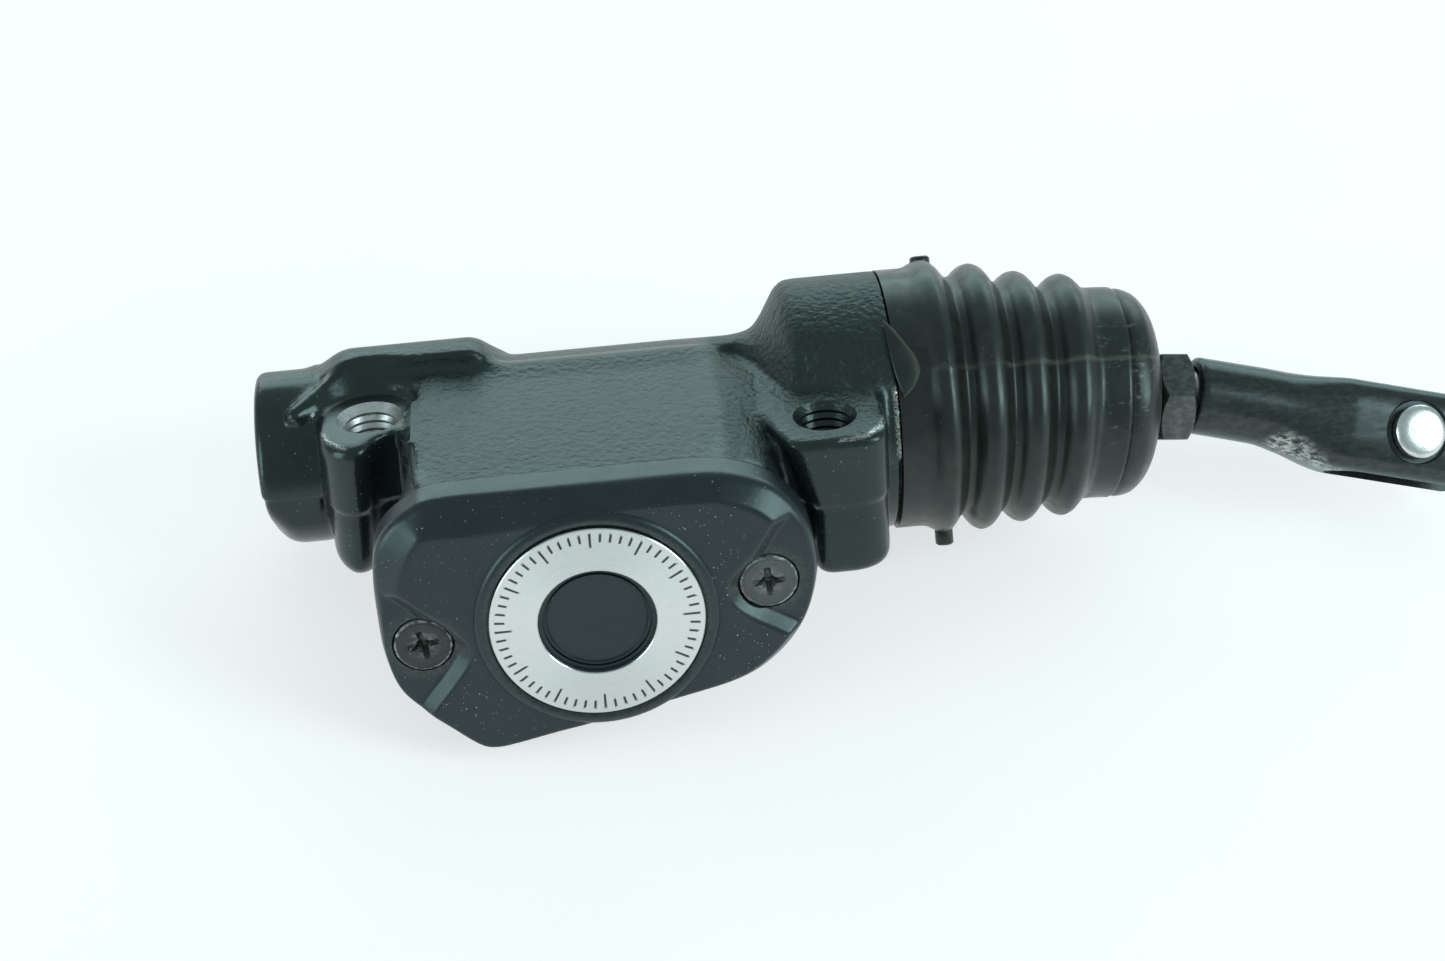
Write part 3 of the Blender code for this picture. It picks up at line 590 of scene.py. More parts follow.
def brushed_ring():
    """Aluminium spun about the label's centre, with printed marks."""
    s = Shader("label_aluminium", (0.66, 0.68, 0.68), 1.0, 0.3, Anisotropic=0.8, Anisotropic_Rotation=0.25)
    tangent = s.node("ShaderNodeTangent", direction_type="RADIAL", axis="Y")
    s.link(tangent.outputs[0], s.bsdf.inputs["Tangent"])
    centre = AXIS + Vector((LABEL[0], COVER_FACE_Y, LABEL[1])) * MM
    shift = s.node("ShaderNodeVectorMath", operation="SUBTRACT")
    s.link(s.place, shift.inputs[0])
    shift.inputs[1].default_value = centre
    split = s.node("ShaderNodeSeparateXYZ")
    s.link(shift.outputs[0], split.inputs[0])
    x, z = split.outputs[0], split.outputs[2]
    radius = s.times(s.math("SQRT", s.math("ADD", s.times(x, x), s.times(z, z))), 1 / MM)
    lines = s.node("ShaderNodeTexNoise", noise_dimensions="1D")
    s.link(s.times(radius, 16.0), lines.inputs["W"])
    lines.inputs["Scale"].default_value = 1.0
    lines.inputs["Detail"].default_value = 3.0
    s.bump(lines.outputs["Fac"], 0.012)
    s.set("Roughness", s.ramp(lines.outputs["Fac"], 0.25, 0.75, 0.22, 0.36))
    ink = s.mask("ink")
    dirt = s.ramp(s.noise(0.8, 4.0, 0.6), 0.62, 0.8, 0.0, 0.35)
    metal = s.mix(dirt, (0.66, 0.68, 0.68), (0.5, 0.51, 0.5))
    s.set("Base Color", s.mix(ink, metal, (0.02, 0.02, 0.02)))
    s.set("Metallic", s.math("SUBTRACT", 1.0, ink))
    return s.material


def black_steel(name, light, roughness, streaks, dusty=0.0):
    s = Shader(name, light, 0.6, roughness, Specular_Tint=(0.85, 1.0, 1.0, 1))
    stretch = (0.12, 2.2, 2.2) if streaks else (1, 1, 1)
    grain = s.noise(0.5, 4.0, 0.65, stretch)
    s.bump(s.noise(2.2, 3.0, 0.6, stretch), 0.004)
    dark = tuple(c * 0.75 for c in light)
    base = s.mix(s.ramp(grain, 0.3, 0.7), dark, light)
    wear_and_glint = s.times(s.mask("wear_and_highlight"), s.ramp(s.noise(1.3, 5.0, 0.75, (0.5, 1, 1)), 0.42, 0.62))
    with_wear = s.mix(wear_and_glint, base, (0.52, 0.54, 0.51))
    specks = s.times(s.specks(1.8, 0.3, 0.6), dusty)
    s.set("Base Color", s.mix(specks, with_wear, (0.30, 0.31, 0.28)))
    s.set("Metallic", s.ramp(specks, 0.0, 1.0, 0.6, 0.1))
    s.set("Roughness", s.ramp(grain, 0.25, 0.75, roughness * 0.85, roughness * 1.2))
    return s.material


def zinc():
    colour, roughness = (0.72, 0.73, 0.72), 0.26
    s = Shader("pin_zinc", colour, 1.0, roughness)
    mottled = s.noise(0.9, 4.0, 0.65)
    s.bump(s.noise(2.6, 3.0, 0.6), 0.02)
    s.set("Base Color", s.mix(s.ramp(mottled, 0.35, 0.75), colour, tuple(c * 0.72 for c in colour)))
    s.set("Roughness", s.ramp(mottled, 0.25, 0.8, roughness * 0.8, roughness * 1.6))
    return s.material


def floor_surface():
    """White translucent sheet, lit a little from below."""
    s = Shader("light_table", (0.5, 0.52, 0.52), 0.0, 0.85, Specular_IOR_Level=0.1)
    s.bump(s.noise(0.35, 4.0, 0.6), 0.05)
    cloud = s.ramp(s.noise(0.02, 3.0, 0.6), 0.3, 0.8)
    s.set("Base Color", s.mix(cloud, (0.49, 0.51, 0.51), (0.51, 0.53, 0.53)))
    s.set("Emission Color", (1.0, 0.99, 0.995))
    s.set("Emission Strength", 0.62)
    return s.material


def set_mask(obj, name, values):
    layer = obj.data.attributes.get(name) or obj.data.attributes.new(name, "FLOAT", "POINT")
    layer.data.foreach_set("value", np.clip(values, 0, 1).astype(np.float32))


def points_of(obj):
    """A mesh's points in millimetres about the cylinder axis."""
    co = np.empty(len(obj.data.vertices) * 3)
    obj.data.vertices.foreach_get("co", co)
    return (co.reshape(-1, 3) - np.array(AXIS)) / MM


def near_path(points, path, reach):
    """1 on a path through space, falling to 0 at `reach` from it."""
    best = np.full(len(points), 1e9)
    path = np.asarray(path, float)
    for a, b in zip(path[:-1], path[1:]):
        e = b - a
        t = np.clip((points - a) @ e / (e @ e), 0, 1)
        best = np.minimum(best, np.linalg.norm(points - a - t[:, None] * e, axis=1))
    return 1 - between(best, 0.35 * reach, reach)


# ---------------------------------------------------------------- cast body

def barrel_radius(x):
    """The outside radius along the axis: end ring, barrel, then the flare to the bell."""
    flare = monotone([(12, BARREL_R), (20, 11.7), (22.4, 11.9), (24.2, 12.5), (25.6, 14.0), (27, 16.2),
                      (28.3, 18.1), (29.6, 18.95), (31, BELL_R), (36, BELL_R)])
    radius = flare(x)
    ring = between(x, -39.4, -40.4)
    return radius + (RING_R - BARREL_R) * ring


RESERVOIR_BACK = [  # outlines in X and Z, from the joint back to the cylinder axis
    (-21.0, [(-23.6, 11.65), (-25.3, 11.25), (-26.1, 10.2), (-26.4, 8), (-26.3, 2), (-25.7, -6), (-24, -13),
             (-21.2, -18.5), (-17.8, -21.8), (-14, -22.8), (-9, -22.2), (-3, -21), (8, -18.8), (14, -16.5),
             (19, -12), (21.6, -6), (22.8, 0), (23.5, 5), (23.4, 7.6), (22.3, 9.6), (20.4, 10.8),
             (17.6, 11.45), (14.5, 11.65)]),
    (-9.0, [(-22.6, 11.72), (-24.2, 11.35), (-24.9, 10.3), (-24.8, 8), (-24, 2), (-21, -4), (-16, -7.5),
            (-8, -10), (4, -10), (12, -8), (18, -3), (21.6, 2), (23.2, 5.6), (23.7, 7.6), (22.6, 9.6),
            (20.4, 10.9), (17.4, 11.55), (14.2, 11.72)]),
    (-0.5, [(-20.6, 11.78), (-22.3, 11.4), (-23.0, 10.2), (-22, 6), (-14, -2), (0, -4), (12, -3), (19, 4),
            (20.2, 8.6), (19.4, 10.2), (17.2, 11.2), (14.6, 11.7), (12, 11.78)]),
]


def body_field(g):
    turn = np.sqrt(g.y ** 2 + g.z ** 2)
    radius = barrel_radius(g.x)
    slope = np.gradient(radius, g.step, axis=0)
    barrel = (turn - radius) / np.sqrt(1 + slope ** 2)
    barrel = both(barrel, g.x - BELL_END, 0.5)
    barrel = both(barrel, BARREL_END - g.x, 1.6 + 3.4 * between(g.z, -1.0, -8.0))
    way = np.array((0, -math.sin(math.radians(19.5)), math.cos(math.radians(19.5))))
    facet = plane(g, way, 12.55 * way)
    barrel = np.where(g.x < -42, both(barrel, facet, 0.2), barrel)

    levels = [(JOINT_Y - 1.2, outline_distance(smooth_loop(inset(COVER_EDGE, 0.55)), g.x, g.z)[:, 0, :])]
    for y, outline in RESERVOIR_BACK:
        levels.append((y, outline_distance(smooth_loop(outline, 5), g.x, g.z)[:, 0, :]))
    rows = []
    for y in g.y.ravel():
        i = min(max(sum(y > level[0] for level in levels) - 1, 0), len(levels) - 2)
        (y0, f0), (y1, f1) = levels[i], levels[i + 1]
        t = min(max((y - y0) / (y1 - y0), 0), 1)
        t = t ** 0.8 if i == 0 else t
        rows.append(f0 + (f1 - f0) * t)
    reservoir = np.stack(rows, 1)
    reservoir = both(reservoir, g.y + 0.5, 1.0)

    foot = trimmed(turn - 12.5, (g.z + 4.5, 2.0), (-45.5 - g.x, 2.5), (g.x + 35, 2.0))

    lean = plane(g, (1, -0.557, -0.09), (-22.43, 0, 0))
    first = trimmed(-39.3 - g.x, (-19.9 - 0.02 * np.abs(g.z) - g.y, 8.0), (lean, 2.2), (-12.8 - g.z, 5.0),
                    (g.y + 0.5, 1.0), (g.z - FACE_Z - 0.55, 2.6))
    first_web = trimmed(np.abs(g.x + 29) - 7, (np.abs(g.y + 8.5) - 6.5, 2.5), (np.abs(g.z - 0.5) - 10.5, 2.0))

    side = plane(g, (-1, -0.35, 0), (18.35, 0, 0)) - 0.27 * np.maximum(g.z, -1.3)
    second = trimmed(side, (-29.9 - 0.03 * np.abs(g.z) - g.y, 1.4), (g.x - 40.1 - 0.01 * np.abs(g.z), 5.0),
                     (-12.2 - g.z, 3.0), (g.y + 6, 1.0), (g.z - FACE_Z - 0.4, 2.0))
    second_web = trimmed(np.abs(g.x - 24) - 5, (np.abs(g.y + 15.5) - 11.5, 1.5),
                         (np.abs(g.z + 0.5) - 8.5, 2.0))

    pad_z = 14.95
    pad = trimmed(g.z - pad_z, (-1.2 - g.y, 1.0), (plane(g, (0, 0.72, 0.70), (0, 4.5, pad_z)), 1.6),
                  (plane(g, (-0.78, 0, 0.63), (-36.2, 0, pad_z)), 2.2),
                  (plane(g, (0.86, 0, 0.5), (-15.6, 0, pad_z)), 2.0), (4.0 - g.z, 0.5))

    ridge_way = np.array((7.6, 7.6, 1.6))
    a = np.array((-42.4, -8.0, 10.6))
    t = np.clip(((g.x - a[0]) * ridge_way[0] + (g.y - a[1]) * ridge_way[1] + (g.z - a[2]) * ridge_way[2])
                / (ridge_way @ ridge_way), 0, 1)
    ridge = np.sqrt((g.x - a[0] - t * ridge_way[0]) ** 2 + (g.y - a[1] - t * ridge_way[1]) ** 2
                    + (g.z - a[2] - t * ridge_way[2]) ** 2) - 1.25 - 0.5 * t

    body = joined(barrel, (pad, 2.4), (ridge, 1.2), (foot, 2.0), (first, 1.8), (second, 2.0),
                  (second_web, 1.0), (first_web, 2.5))

    # the spot faces round the holes, which widen as they rise
    level = FACE_Z + 0.02
    rise = np.maximum(g.z - level, 0)
    left = np.hypot(g.x - HOLE_1[0], g.y - HOLE_1[1]) - SPOT_FACE_R[0] - 0.65 * rise
    left = union(left, both(g.y - HOLE_1[1], np.abs(g.x + 36) - 11.6, 0.5), 1.0)
    right = np.hypot(g.x - HOLE_2[0], g.y - HOLE_2[1]) - SPOT_FACE_R[1] - 0.8 * rise
    right = union(right, both(g.y - HOLE_2[1], 23.5 - g.x, 0.5), 1.0)
    land = outline_distance([(19.0, -1.0), (19.0, -24), (30, -24), (30, -15.0), (27.0, -13.6), (25.4, -9.6),
                             (23.4, -4.0), (21.4, -0.8)], g.x, g.y) - 0.5 * rise
    for cut, k in ((left, 0.4), (union(right, land, 1.5), 0.8)):
        body = without(body, both(cut, level - g.z, 0.3), k)
    body = union(body, reservoir, 1.6)
    for x, z in SCREWS:
        lug = both(np.sqrt((g.x - x) ** 2 + (g.z - z) ** 2) - 4.4 + 0.02 * (g.y - JOINT_Y),
                   g.y - JOINT_Y - 10, 1.5)
        body = union(body, lug, 1.5)
    nub = both(np.sqrt((g.x + 25.2) ** 2 + (g.z + 20.3) ** 2) - 2.5, g.y - JOINT_Y - 5, 1.5)
    body = union(body, nub, 0.8)
    below = between(g.z, 0.1, -0.5) * 0.3
    return both(body + below, JOINT_Y - 0.6 - g.y, 0.2)


def machined_cutters():
    """The joint face, fluid well, mounting holes, spring room, bore, port and the cover screws' holes."""
    sheet = [(-60, -40), (60, -40), (60, 40), (-60, 40)]
    made = [plate("joint_cut", [(-40, sheet), (JOINT_Y, sheet)])]
    waist = [(x * 0.88 - 0.6, z * 0.84 if z < 0 else z) for x, z in WELL]
    floor = [(x * 0.66, z * 0.40 if z < 0 else z * 0.8) for x, z in WELL]
    made.append(plate("well_cut", [(JOINT_Y - 1, WELL), (-23, waist), (-12, floor)]))

    pitch = 1.27
    for i, (x, y) in enumerate((HOLE_1, HOLE_2)):
        mouth = HOLE_MOUTH_R if i == 0 else 4.5
        profile = [(1, 0), (1, mouth + 1.0), (0.0, mouth), (-1.1, HOLE_R + 0.1)]
        depth = 1.1
        while depth < HOLE_DEPTH - pitch:
            profile += [(-depth - pitch * 0.45, HOLE_R + 0.42), (-depth - pitch * 0.95, HOLE_R)]
            depth += pitch
        profile += [(-HOLE_DEPTH, HOLE_R), (-HOLE_DEPTH - 1.6, 0)]
        made.append(turned(f"hole_{i}", profile, None, 48, (x, y, FACE_Z), (0, 0, 1)))
    spring_room = [(27.5, SPRING_ROOM_R), (60, SPRING_ROOM_R), (60, NOSE_R), (27.5, NOSE_R)]
    made.append(turned("spring_room", spring_room, closed=True))
    made.append(turned("bore", [(-22, 0), (-22, BORE_R), (48.8, BORE_R), (48.8, 7.15), (50, 7.15),
                                (50, BORE_R), (51.6, BORE_R), (52.2, BORE_R + 0.6), (60, BORE_R + 0.6),
                                (60, 0)]))
    port = [(-60, 0), (-60, END_FACE_R), (BARREL_END + 0.25, END_FACE_R), (BARREL_END + 0.25, PORT_R + 1.2),
            (BARREL_END + 1.1, PORT_R + 0.15)]
    x = BARREL_END + 1.1
    while x < -41:
        port += [(x + 0.5, PORT_R + 0.45), (x + 1.0, PORT_R)]
        x += 1.05
    port += [(-39.5, PORT_R), (-39.5, 3.3), (-36, 3.3), (-36, 1.5), (-21, 1.5), (-21, 0)]
    made.append(turned("port", port))
    made += [turned(f"tapped_{i}", [(-1, 0), (-1, 2.5), (9.5, 2.5), (10.5, 0)], None, 20, (x, JOINT_Y, z),
                    (0, 1, 0)) for i, (x, z) in enumerate(SCREWS)]
    return made


def make_body():
    g = Grid((-49.6, -34.4, -28.0), (44.2, 20.4, 20.4), 0.45)
    body = piece("cast_body", *g.skin(body_field(g)), flip_check=False)
    core = turned("core", [(38, 0), (38, SPIGOT_R), (48.6, SPIGOT_R), (49, SPIGOT_R - 0.4),
                           (49, NOSE_R - 0.06), (51.5, NOSE_R - 0.06), (52, NOSE_R - 0.5), (52, 0)])
    machine(body, "UNION", [core])
    machine(body, "DIFFERENCE", machined_cutters())
    body.data.materials.append(cast_paint())
    body.data.materials.append(machined_metal("bored_metal", (0.62, 0.62, 0.62), 0.28))
    p = points_of(body)
    x, y, z = p.T
    turn = np.hypot(y, z)

    flare = between(x, 15, 19) * between(z, 9.5, 11)
    top = between(z, 11.0, 11.5) * between(y, 1.0, -1.5) * between(x, -27, -26) * between(x, 24, 21)
    flank = between(z, 11.3, 10.6) * between(y, -33, -31) * (x > -28) * between(x, 26, 24)
    flank *= 1 - between(z, FACE_Z + 0.08, FACE_Z + 0.02) * between(z, FACE_Z - 0.1, FACE_Z - 0.05)
    block = between(z, 12.0, 13.0) * between(y, -1, 0.5) * between(x, -14, -17) * 0.45
    barrel = between(y, 0, 3) * 0.5 + 0.06
    set_mask(body, "cast", np.maximum.reduce([flare, top * 0.55, flank * 0.85, block, barrel]))

    rim_1 = [(-40.3, -6.4, FACE_Z), (-39.2, -12.0, FACE_Z), (-37.4, -16.4, FACE_Z), (-34.6, -19.2, FACE_Z),
             (-31.5, -19.8, FACE_Z), (-28.6, -18.4, FACE_Z)]
    rim_2 = [(33.0, -29.8, FACE_Z), (36.5, -29.4, FACE_Z), (39.3, -26.5, FACE_Z), (39.9, -23.5, FACE_Z)]
    # the strip down the bell's edge beside boss 2 is partly worn paint and partly a painted highlight: at
    # three quarters strength it takes the bare-metal colour where the glossy paint would catch light
    highlight_strip = [(42.7, -16.2, 10.0), (42.8, -18.2, 5.5), (42.9, -19.0, 1.0)]
    edges = np.maximum(near_path(p, rim_1, 0.42), near_path(p, rim_2, 0.6))
    edges = np.maximum(edges, near_path(p, highlight_strip, 0.8) * 0.75)
    set_mask(body, "wear_and_highlight", edges)
    columns = (y < -11) * ((x < -27) | (x > 24)) * (z < 9.8) + (x < -38) * (y < -4)
    set_mask(body, "dust", np.clip(columns, 0, 1) * 0.9 + 0.1 * (z > 10))

    centres = np.empty(len(body.data.polygons) * 3)
    body.data.polygons.foreach_get("center", centres)
    c = (centres.reshape(-1, 3) - np.array(AXIS)) / MM
    reach = np.hypot(c[:, 1], c[:, 2])
    hole_1 = (np.hypot(c[:, 0] - HOLE_1[0], c[:, 1] - HOLE_1[1]) < HOLE_MOUTH_R - 0.02) & (c[:, 2] > 0.3) \
        & (c[:, 2] < FACE_Z - 0.01)
    bores = (reach < 9.4) & ((c[:, 0] > 27) | (c[:, 0] < -36)) & (np.abs(c[:, 2]) < 9.4)
    room = (reach < SPRING_ROOM_R + 0.05) & (c[:, 0] > 27.2)
    end_face = (c[:, 0] < BARREL_END + 0.3) & (reach < END_FACE_R - 0.01)
    joint = c[:, 1] < JOINT_Y + 0.02
    index = (hole_1 | (bores & (c[:, 1] > -9)) | room | end_face | joint).astype(np.int32)
    body.data.polygons.foreach_set("material_index", index)
    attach(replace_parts(body, "cylinder_body"), "housing")


# ---------------------------------------------------------------- cover

def make_cover():
    g = Grid((-33.2, -42.3, -28.4), (28.7, -32.4, 13.2), 0.26)
    edge = outline_distance(smooth_loop(COVER_EDGE), g.x, g.z)
    flat = outline_distance(smooth_loop(COVER_FLAT), g.x, g.z)
    band = np.maximum(flat - edge, 0.6)
    depth = 2.7
    facet = (flat - (g.y - COVER_FACE_Y) * band / depth) / np.sqrt(1 + (band / depth) ** 2)
    front = COVER_FACE_Y - g.y
    for pocket in (LEFT_POCKET, RIGHT_POCKET):
        walls = outline_distance(smooth_loop(pocket, 5), g.x, g.z)
        hollow = both((walls + 1.1 * (g.y - COVER_FACE_Y)) / 1.48, g.y - (COVER_FACE_Y + 1.7), 0.2)
        front = without(front, hollow, 0.25)
    cover = trimmed(edge, (facet, 0.8), (front, 0.35), (g.y - (JOINT_Y - 0.28), 0.4))
    obj = piece("cover_plate", *g.skin(cover), flip_check=False)

    x, z = LABEL
    at = {"steps": 128, "origin": (x, COVER_FACE_Y, z), "axis": (0, 1, 0)}
    rim = turned("rim", [(2, 15), (2, LABEL_RIM_R + 0.5), (0.02, LABEL_RIM_R + 0.5),
                         (-0.25, LABEL_RIM_R + 0.35), (-0.55, LABEL_RIM_R), (-0.7, LABEL_RIM_R - 0.45),
                         (-0.7, 15)], closed=True, **at)
    machine(obj, "UNION", [rim])
    seat = turned("seat", [(-3, LABEL_IN_R - 0.3), (-3, LABEL_OUT_R + 0.75), (-0.72, LABEL_OUT_R + 0.75),
                           (-0.45, LABEL_OUT_R + 0.3), (-0.05, LABEL_OUT_R + 0.25),
                           (-0.05, LABEL_IN_R - 0.3)], closed=True, **at)
    dish = turned("dish", [(-3, 0), (-3, 7.55), (-0.35, 7.35), (0.0, 6.95), (0.32, 6.75), (0.35, 6.4),
                           (0.3, 0)], **at)
    groove = turned("groove", [(-0.1, 7.25), (-0.1, 7.5), (0.35, 7.45), (0.35, 7.0), (0.1, 6.95)],
                    closed=True, **at)
    cutters = [seat, dish, groove, plate("room", [(JOINT_Y + 1, WELL), (-37.2, inset(WELL, 0.4))])]
    for i, (sx, sz) in enumerate(SCREWS):
        cutters.append(turned(f"sink_{i}", [(-2, 0), (-2, SCREW_HEAD_R + 0.28), (2.55, SCREW_HEAD_R + 0.28),
                                            (4.6, 2.55), (12, 2.55), (12, 0)], None, 64,
                              (sx, COVER_FACE_Y, sz), (0, 1, 0)))
    machine(obj, "DIFFERENCE", cutters)
    p = points_of(obj)
    grime = np.zeros(len(p))
    for sx, sz in SCREWS:
        grime = np.maximum(grime, 1 - between(np.hypot(p[:, 0] - sx, p[:, 2] - sz), 4.0, 6.5))
    ring = np.hypot(p[:, 0] - x, p[:, 2] - z)
    grime = np.maximum(grime, 0.6 * (1 - between(np.abs(ring - LABEL_OUT_R - 0.6), 0.2, 0.9)))
    set_mask(obj, "grime", grime)
    obj.data.materials.append(cover_paint())
    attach(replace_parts(obj, "reservoir_cover"), "housing")


def make_label():
    """Spun aluminium ring with a rolled edge and plain index marks."""
    x, z = LABEL
    steps, rows = 720, np.linspace(LABEL_IN_R, LABEL_OUT_R, 34)
    top = -0.84
    profile = [(-0.15, LABEL_IN_R), (top + 0.12, LABEL_IN_R), (top, LABEL_IN_R + 0.12)]
    profile += [(top, r) for r in rows[1:-1]]
    profile += [(top, LABEL_OUT_R - 0.12), (top + 0.12, LABEL_OUT_R), (-0.15, LABEL_OUT_R)]
    obj = turned("label_ring", profile, brushed_ring(), steps, (x, COVER_FACE_Y, z), (0, 1, 0), closed=True)
    p = points_of(obj)
    angle = np.degrees(np.arctan2(p[:, 2] - z, p[:, 0] - x)) % 360
    radius = np.hypot(p[:, 0] - x, p[:, 2] - z)
    nearest = np.abs((angle + 3) % 6 - 3)
    long = np.abs((angle + 15) % 30 - 15) < 1
    ink = (nearest < 0.8) & (radius > np.where(long, 11.7, 12.6)) & (radius < 13.9)
    set_mask(obj, "ink", ink.astype(float))
    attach(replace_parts(obj, "cover_label_ring"), "housing")


def make_screw(name, at, turn, node, material):
    """Countersunk cross-recess screw with a flat, faintly dished head."""
    x, z = at
    top = 1.35
    obj = turned(name, [(top + 0.12, 0), (top + 0.05, 2.6), (top, 3.35), (top + 0.06, 3.45),
                        (top + 0.06, 3.55), (top, 3.62), (top + 0.05, 3.85), (top + 0.25, SCREW_HEAD_R),
                        (top + 0.95, SCREW_HEAD_R), (top + 3.0, 2.2), (15.6, 2.1), (16.6, 1.3),
                        (16.6, 0)], None, 64, (x, COVER_FACE_Y, z), (0, 1, 0))
    cutters = []
    for i in range(2):
        a = math.radians(turn + 90 * i)
        levels = []
        for depth, length, width in ((-1.0, 2.55, 0.52), (0.0, 2.3, 0.48), (1.7 + 0.1 * i, 0.9, 0.3)):
            ring = []
            for u, v in ((1, 0.5), (0.93, 1), (-0.93, 1), (-1, 0.5), (-1, -0.5), (-0.93, -1), (0.93, -1),
                         (1, -0.5)):
                ring.append((x + u * length * math.cos(a) - v * width * math.sin(a),
                             z + u * length * math.sin(a) + v * width * math.cos(a)))
            levels.append((COVER_FACE_Y + top + depth, ring))
        cutters.append(plate(f"{name}_cut_{i}", levels))
    cutters.append(turned(f"{name}_cone", [(top - 1, 0), (top - 1, 1.25), (top, 1.15), (top + 1.9, 0.5),
                                           (top + 1.9, 0)], None, 24, (x, COVER_FACE_Y, z), (0, 1, 0)))
    machine(obj, "DIFFERENCE", cutters)
    obj.data.materials.append(material)
    p = points_of(obj)
    radius = np.hypot(p[:, 0] - x, p[:, 2] - z)
    set_mask(obj, "wear_and_highlight", 0.9 * (np.abs(radius - 3.85) < 0.16) + 0.3 * (radius < 2.0))
    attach(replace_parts(obj, node), "housing")


# ---------------------------------------------------------------- boot and spring

BOOT_DROP = monotone([(43, 0), (48, 0.08), (52, 0.42), (56.5, 0.95), (62.8, 1.6), (69.2, 2.0), (75, 2.25),
                      (80, 2.9), (85, 3.4)])
BOOT_TURN = monotone([(43, 0), (48, 0.01), (50.4, 0.4), (56.5, 2.6), (62.8, 3.6), (69.2, 5.0), (75, 6.0),
                      (85, 6.01)])


def boot_ring(x, radius, steps, relief=None):
    """A ring of the boot, which sinks and turns with the rod as it nears the nose."""
    turn = math.radians(BOOT_TURN(x))
    u, v = frame_of((math.cos(turn), 0, -math.sin(turn)))
    a = np.arange(steps) * 2 * math.pi / steps
    way = np.outer(np.cos(a), u) + np.outer(np.sin(a), v)
    reach = radius + (relief(x, way) if relief else 0.0)
    return np.array((x, 0, -BOOT_DROP(x))) + way * np.reshape(reach, (-1, 1))


MOLD_ANGLE = math.radians(39.0)
MOLD_WAY = np.array((0.0, -math.cos(MOLD_ANGLE), math.sin(MOLD_ANGLE)))
MOLD_WIDTH = 0.0002  # as 1 less the cosine of the angle from the line


def boot_relief(x, way):
    """The mould's parting line, proud of the rubber on both sides of the boot."""
    line = sum(np.exp(-((way @ side - 1) / MOLD_WIDTH) ** 2) for side in (MOLD_WAY, -MOLD_WAY))
    return 0.1 * line * (x > 47)


def make_boot():
    outside, inside = monotone(BOOT_OUTSIDE), monotone(BOOT_INSIDE)
    material = rubber("boot_rubber", 1.0)
    steps = 288

    def shell(name, low, high):
        xs = np.append(np.arange(low, high - 0.1, 0.3), high)
        rings = [boot_ring(x, outside(x), steps, boot_relief) for x in xs]
        if high == DOME_START:
            rings += [boot_ring(x, outside(x), steps) for x in np.linspace(DOME_START + 0.25, DOME_END, 24)]
            rings += [boot_ring(x, inside(x), steps) for x in np.linspace(DOME_IN_END, DOME_START, 14)]
        rings += [boot_ring(x, inside(x), steps) for x in np.linspace(high, low, int((high - low) / 0.9))]
        return piece(name, *skin(rings, closed=True), material, sharp=RUBBER_SHARP)

    fold = shell("boot_folds", BOOT_OUTSIDE[0][0], BOOT_SPLIT)
    nose = shell("boot_nose", BOOT_SPLIT, DOME_START)
    nubs = []
    for i, (angle, top, radius) in enumerate(((-66, 22.3, 1.35), (118, 20.8, 1.5))):
        way = (0, -math.cos(math.radians(angle)), math.sin(math.radians(angle)))
        nubs.append(turned(f"nub_{i}", [(18.6, 0), (18.6, radius), (top - 0.3, radius), (top, radius - 0.35),
                                        (top, 0)], None, 24, (50.2, 0, -0.2), way))
    machine(fold, "UNION", nubs, sharp=RUBBER_SHARP)
    fold.data.materials.append(material)
    for obj in (fold, nose):
        p = points_of(obj)
        way = p[:, 1:] / np.linalg.norm(p[:, 1:], axis=1)[:, None]
        seam = np.exp(-((np.abs(way @ MOLD_WAY[1:]) - 1) / MOLD_WIDTH) ** 2) * (p[:, 0] > 47)
        low = between(np.linalg.norm(p[:, 1:], axis=1), 18.3, 16.9)
        set_mask(obj, "wear_and_highlight", seam * (0.25 + 0.75 * low))
        set_mask(obj, "scuff", between(p[:, 0], 72, 74) * (p[:, 1] < -6) * between(p[:, 2], -4, 2))
    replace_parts(fold, "rubber_boot")
    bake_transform(fold)
    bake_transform(nose)
    make_boot_flap(material)


def make_boot_flap(material):
    """A loose sliver of the boot's lip that stands off the bell at its root."""
    left = monotone([(27.7, 43.6), (37.4, 42.8), (50.5, 42.25), (63.5, 42.0)])
    right = monotone([(27.7, 43.65), (32.5, 45.3), (38.6, 46.15), (44, 45.7), (50, 44.6), (57.5, 43.3),
                      (63.5, 42.05)])
    rings = []
    for angle in np.linspace(27.8, 63.4, 41):
        low, high = float(left(angle)), float(right(angle))
        swell = (high - low) / 3.6
        ring = []
        for k in range(20):
            a = 2 * math.pi * k / 20
            u = math.cos(a)
            r = 19.5 + 1.3 * swell * (0.5 + 0.5 * u) ** 2 + (0.06 + 0.16 * min(swell * 3, 1)) * math.sin(a)
            x = (low + high) / 2 + (high - low) / 2 * u
            ring.append((x, -r * math.cos(math.radians(angle)), r * math.sin(math.radians(angle))))
        rings.append(ring)
    flap = piece("boot_lip_flap", *skin(rings), material, sharp=RUBBER_SHARP)
    p = points_of(flap)
    rim = np.array([float(right(a)) for a in np.degrees(np.arctan2(p[:, 2], -p[:, 1]))])
    # painted highlight: the flap's rim is lightened to stand for the light its thin edge catches
    set_mask(flap, "wear_and_highlight", 1 - between(rim - p[:, 0], 0.2, 0.55))
    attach(flap, "housing")


def copy_of(node, name, material):
    """A copy of a CAD node's mesh, as a new piece with no parent."""
    mesh = frame["nodes"][node].data.copy()
    mesh.materials.clear()
    mesh.materials.append(material)
    obj = bpy.data.objects.new(name, mesh)
    bpy.context.scene.collection.objects.link(obj)
    return obj


def make_springs(material):
    for node, low, high in (("return_spring", 30, 74), ("piston_spring", -21, -6)):
        coil = copy_of(node, node + "_coil", material)
        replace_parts(coil, node)
        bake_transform(coil)


# ---------------------------------------------------------------- rod, nut, clevis and pin

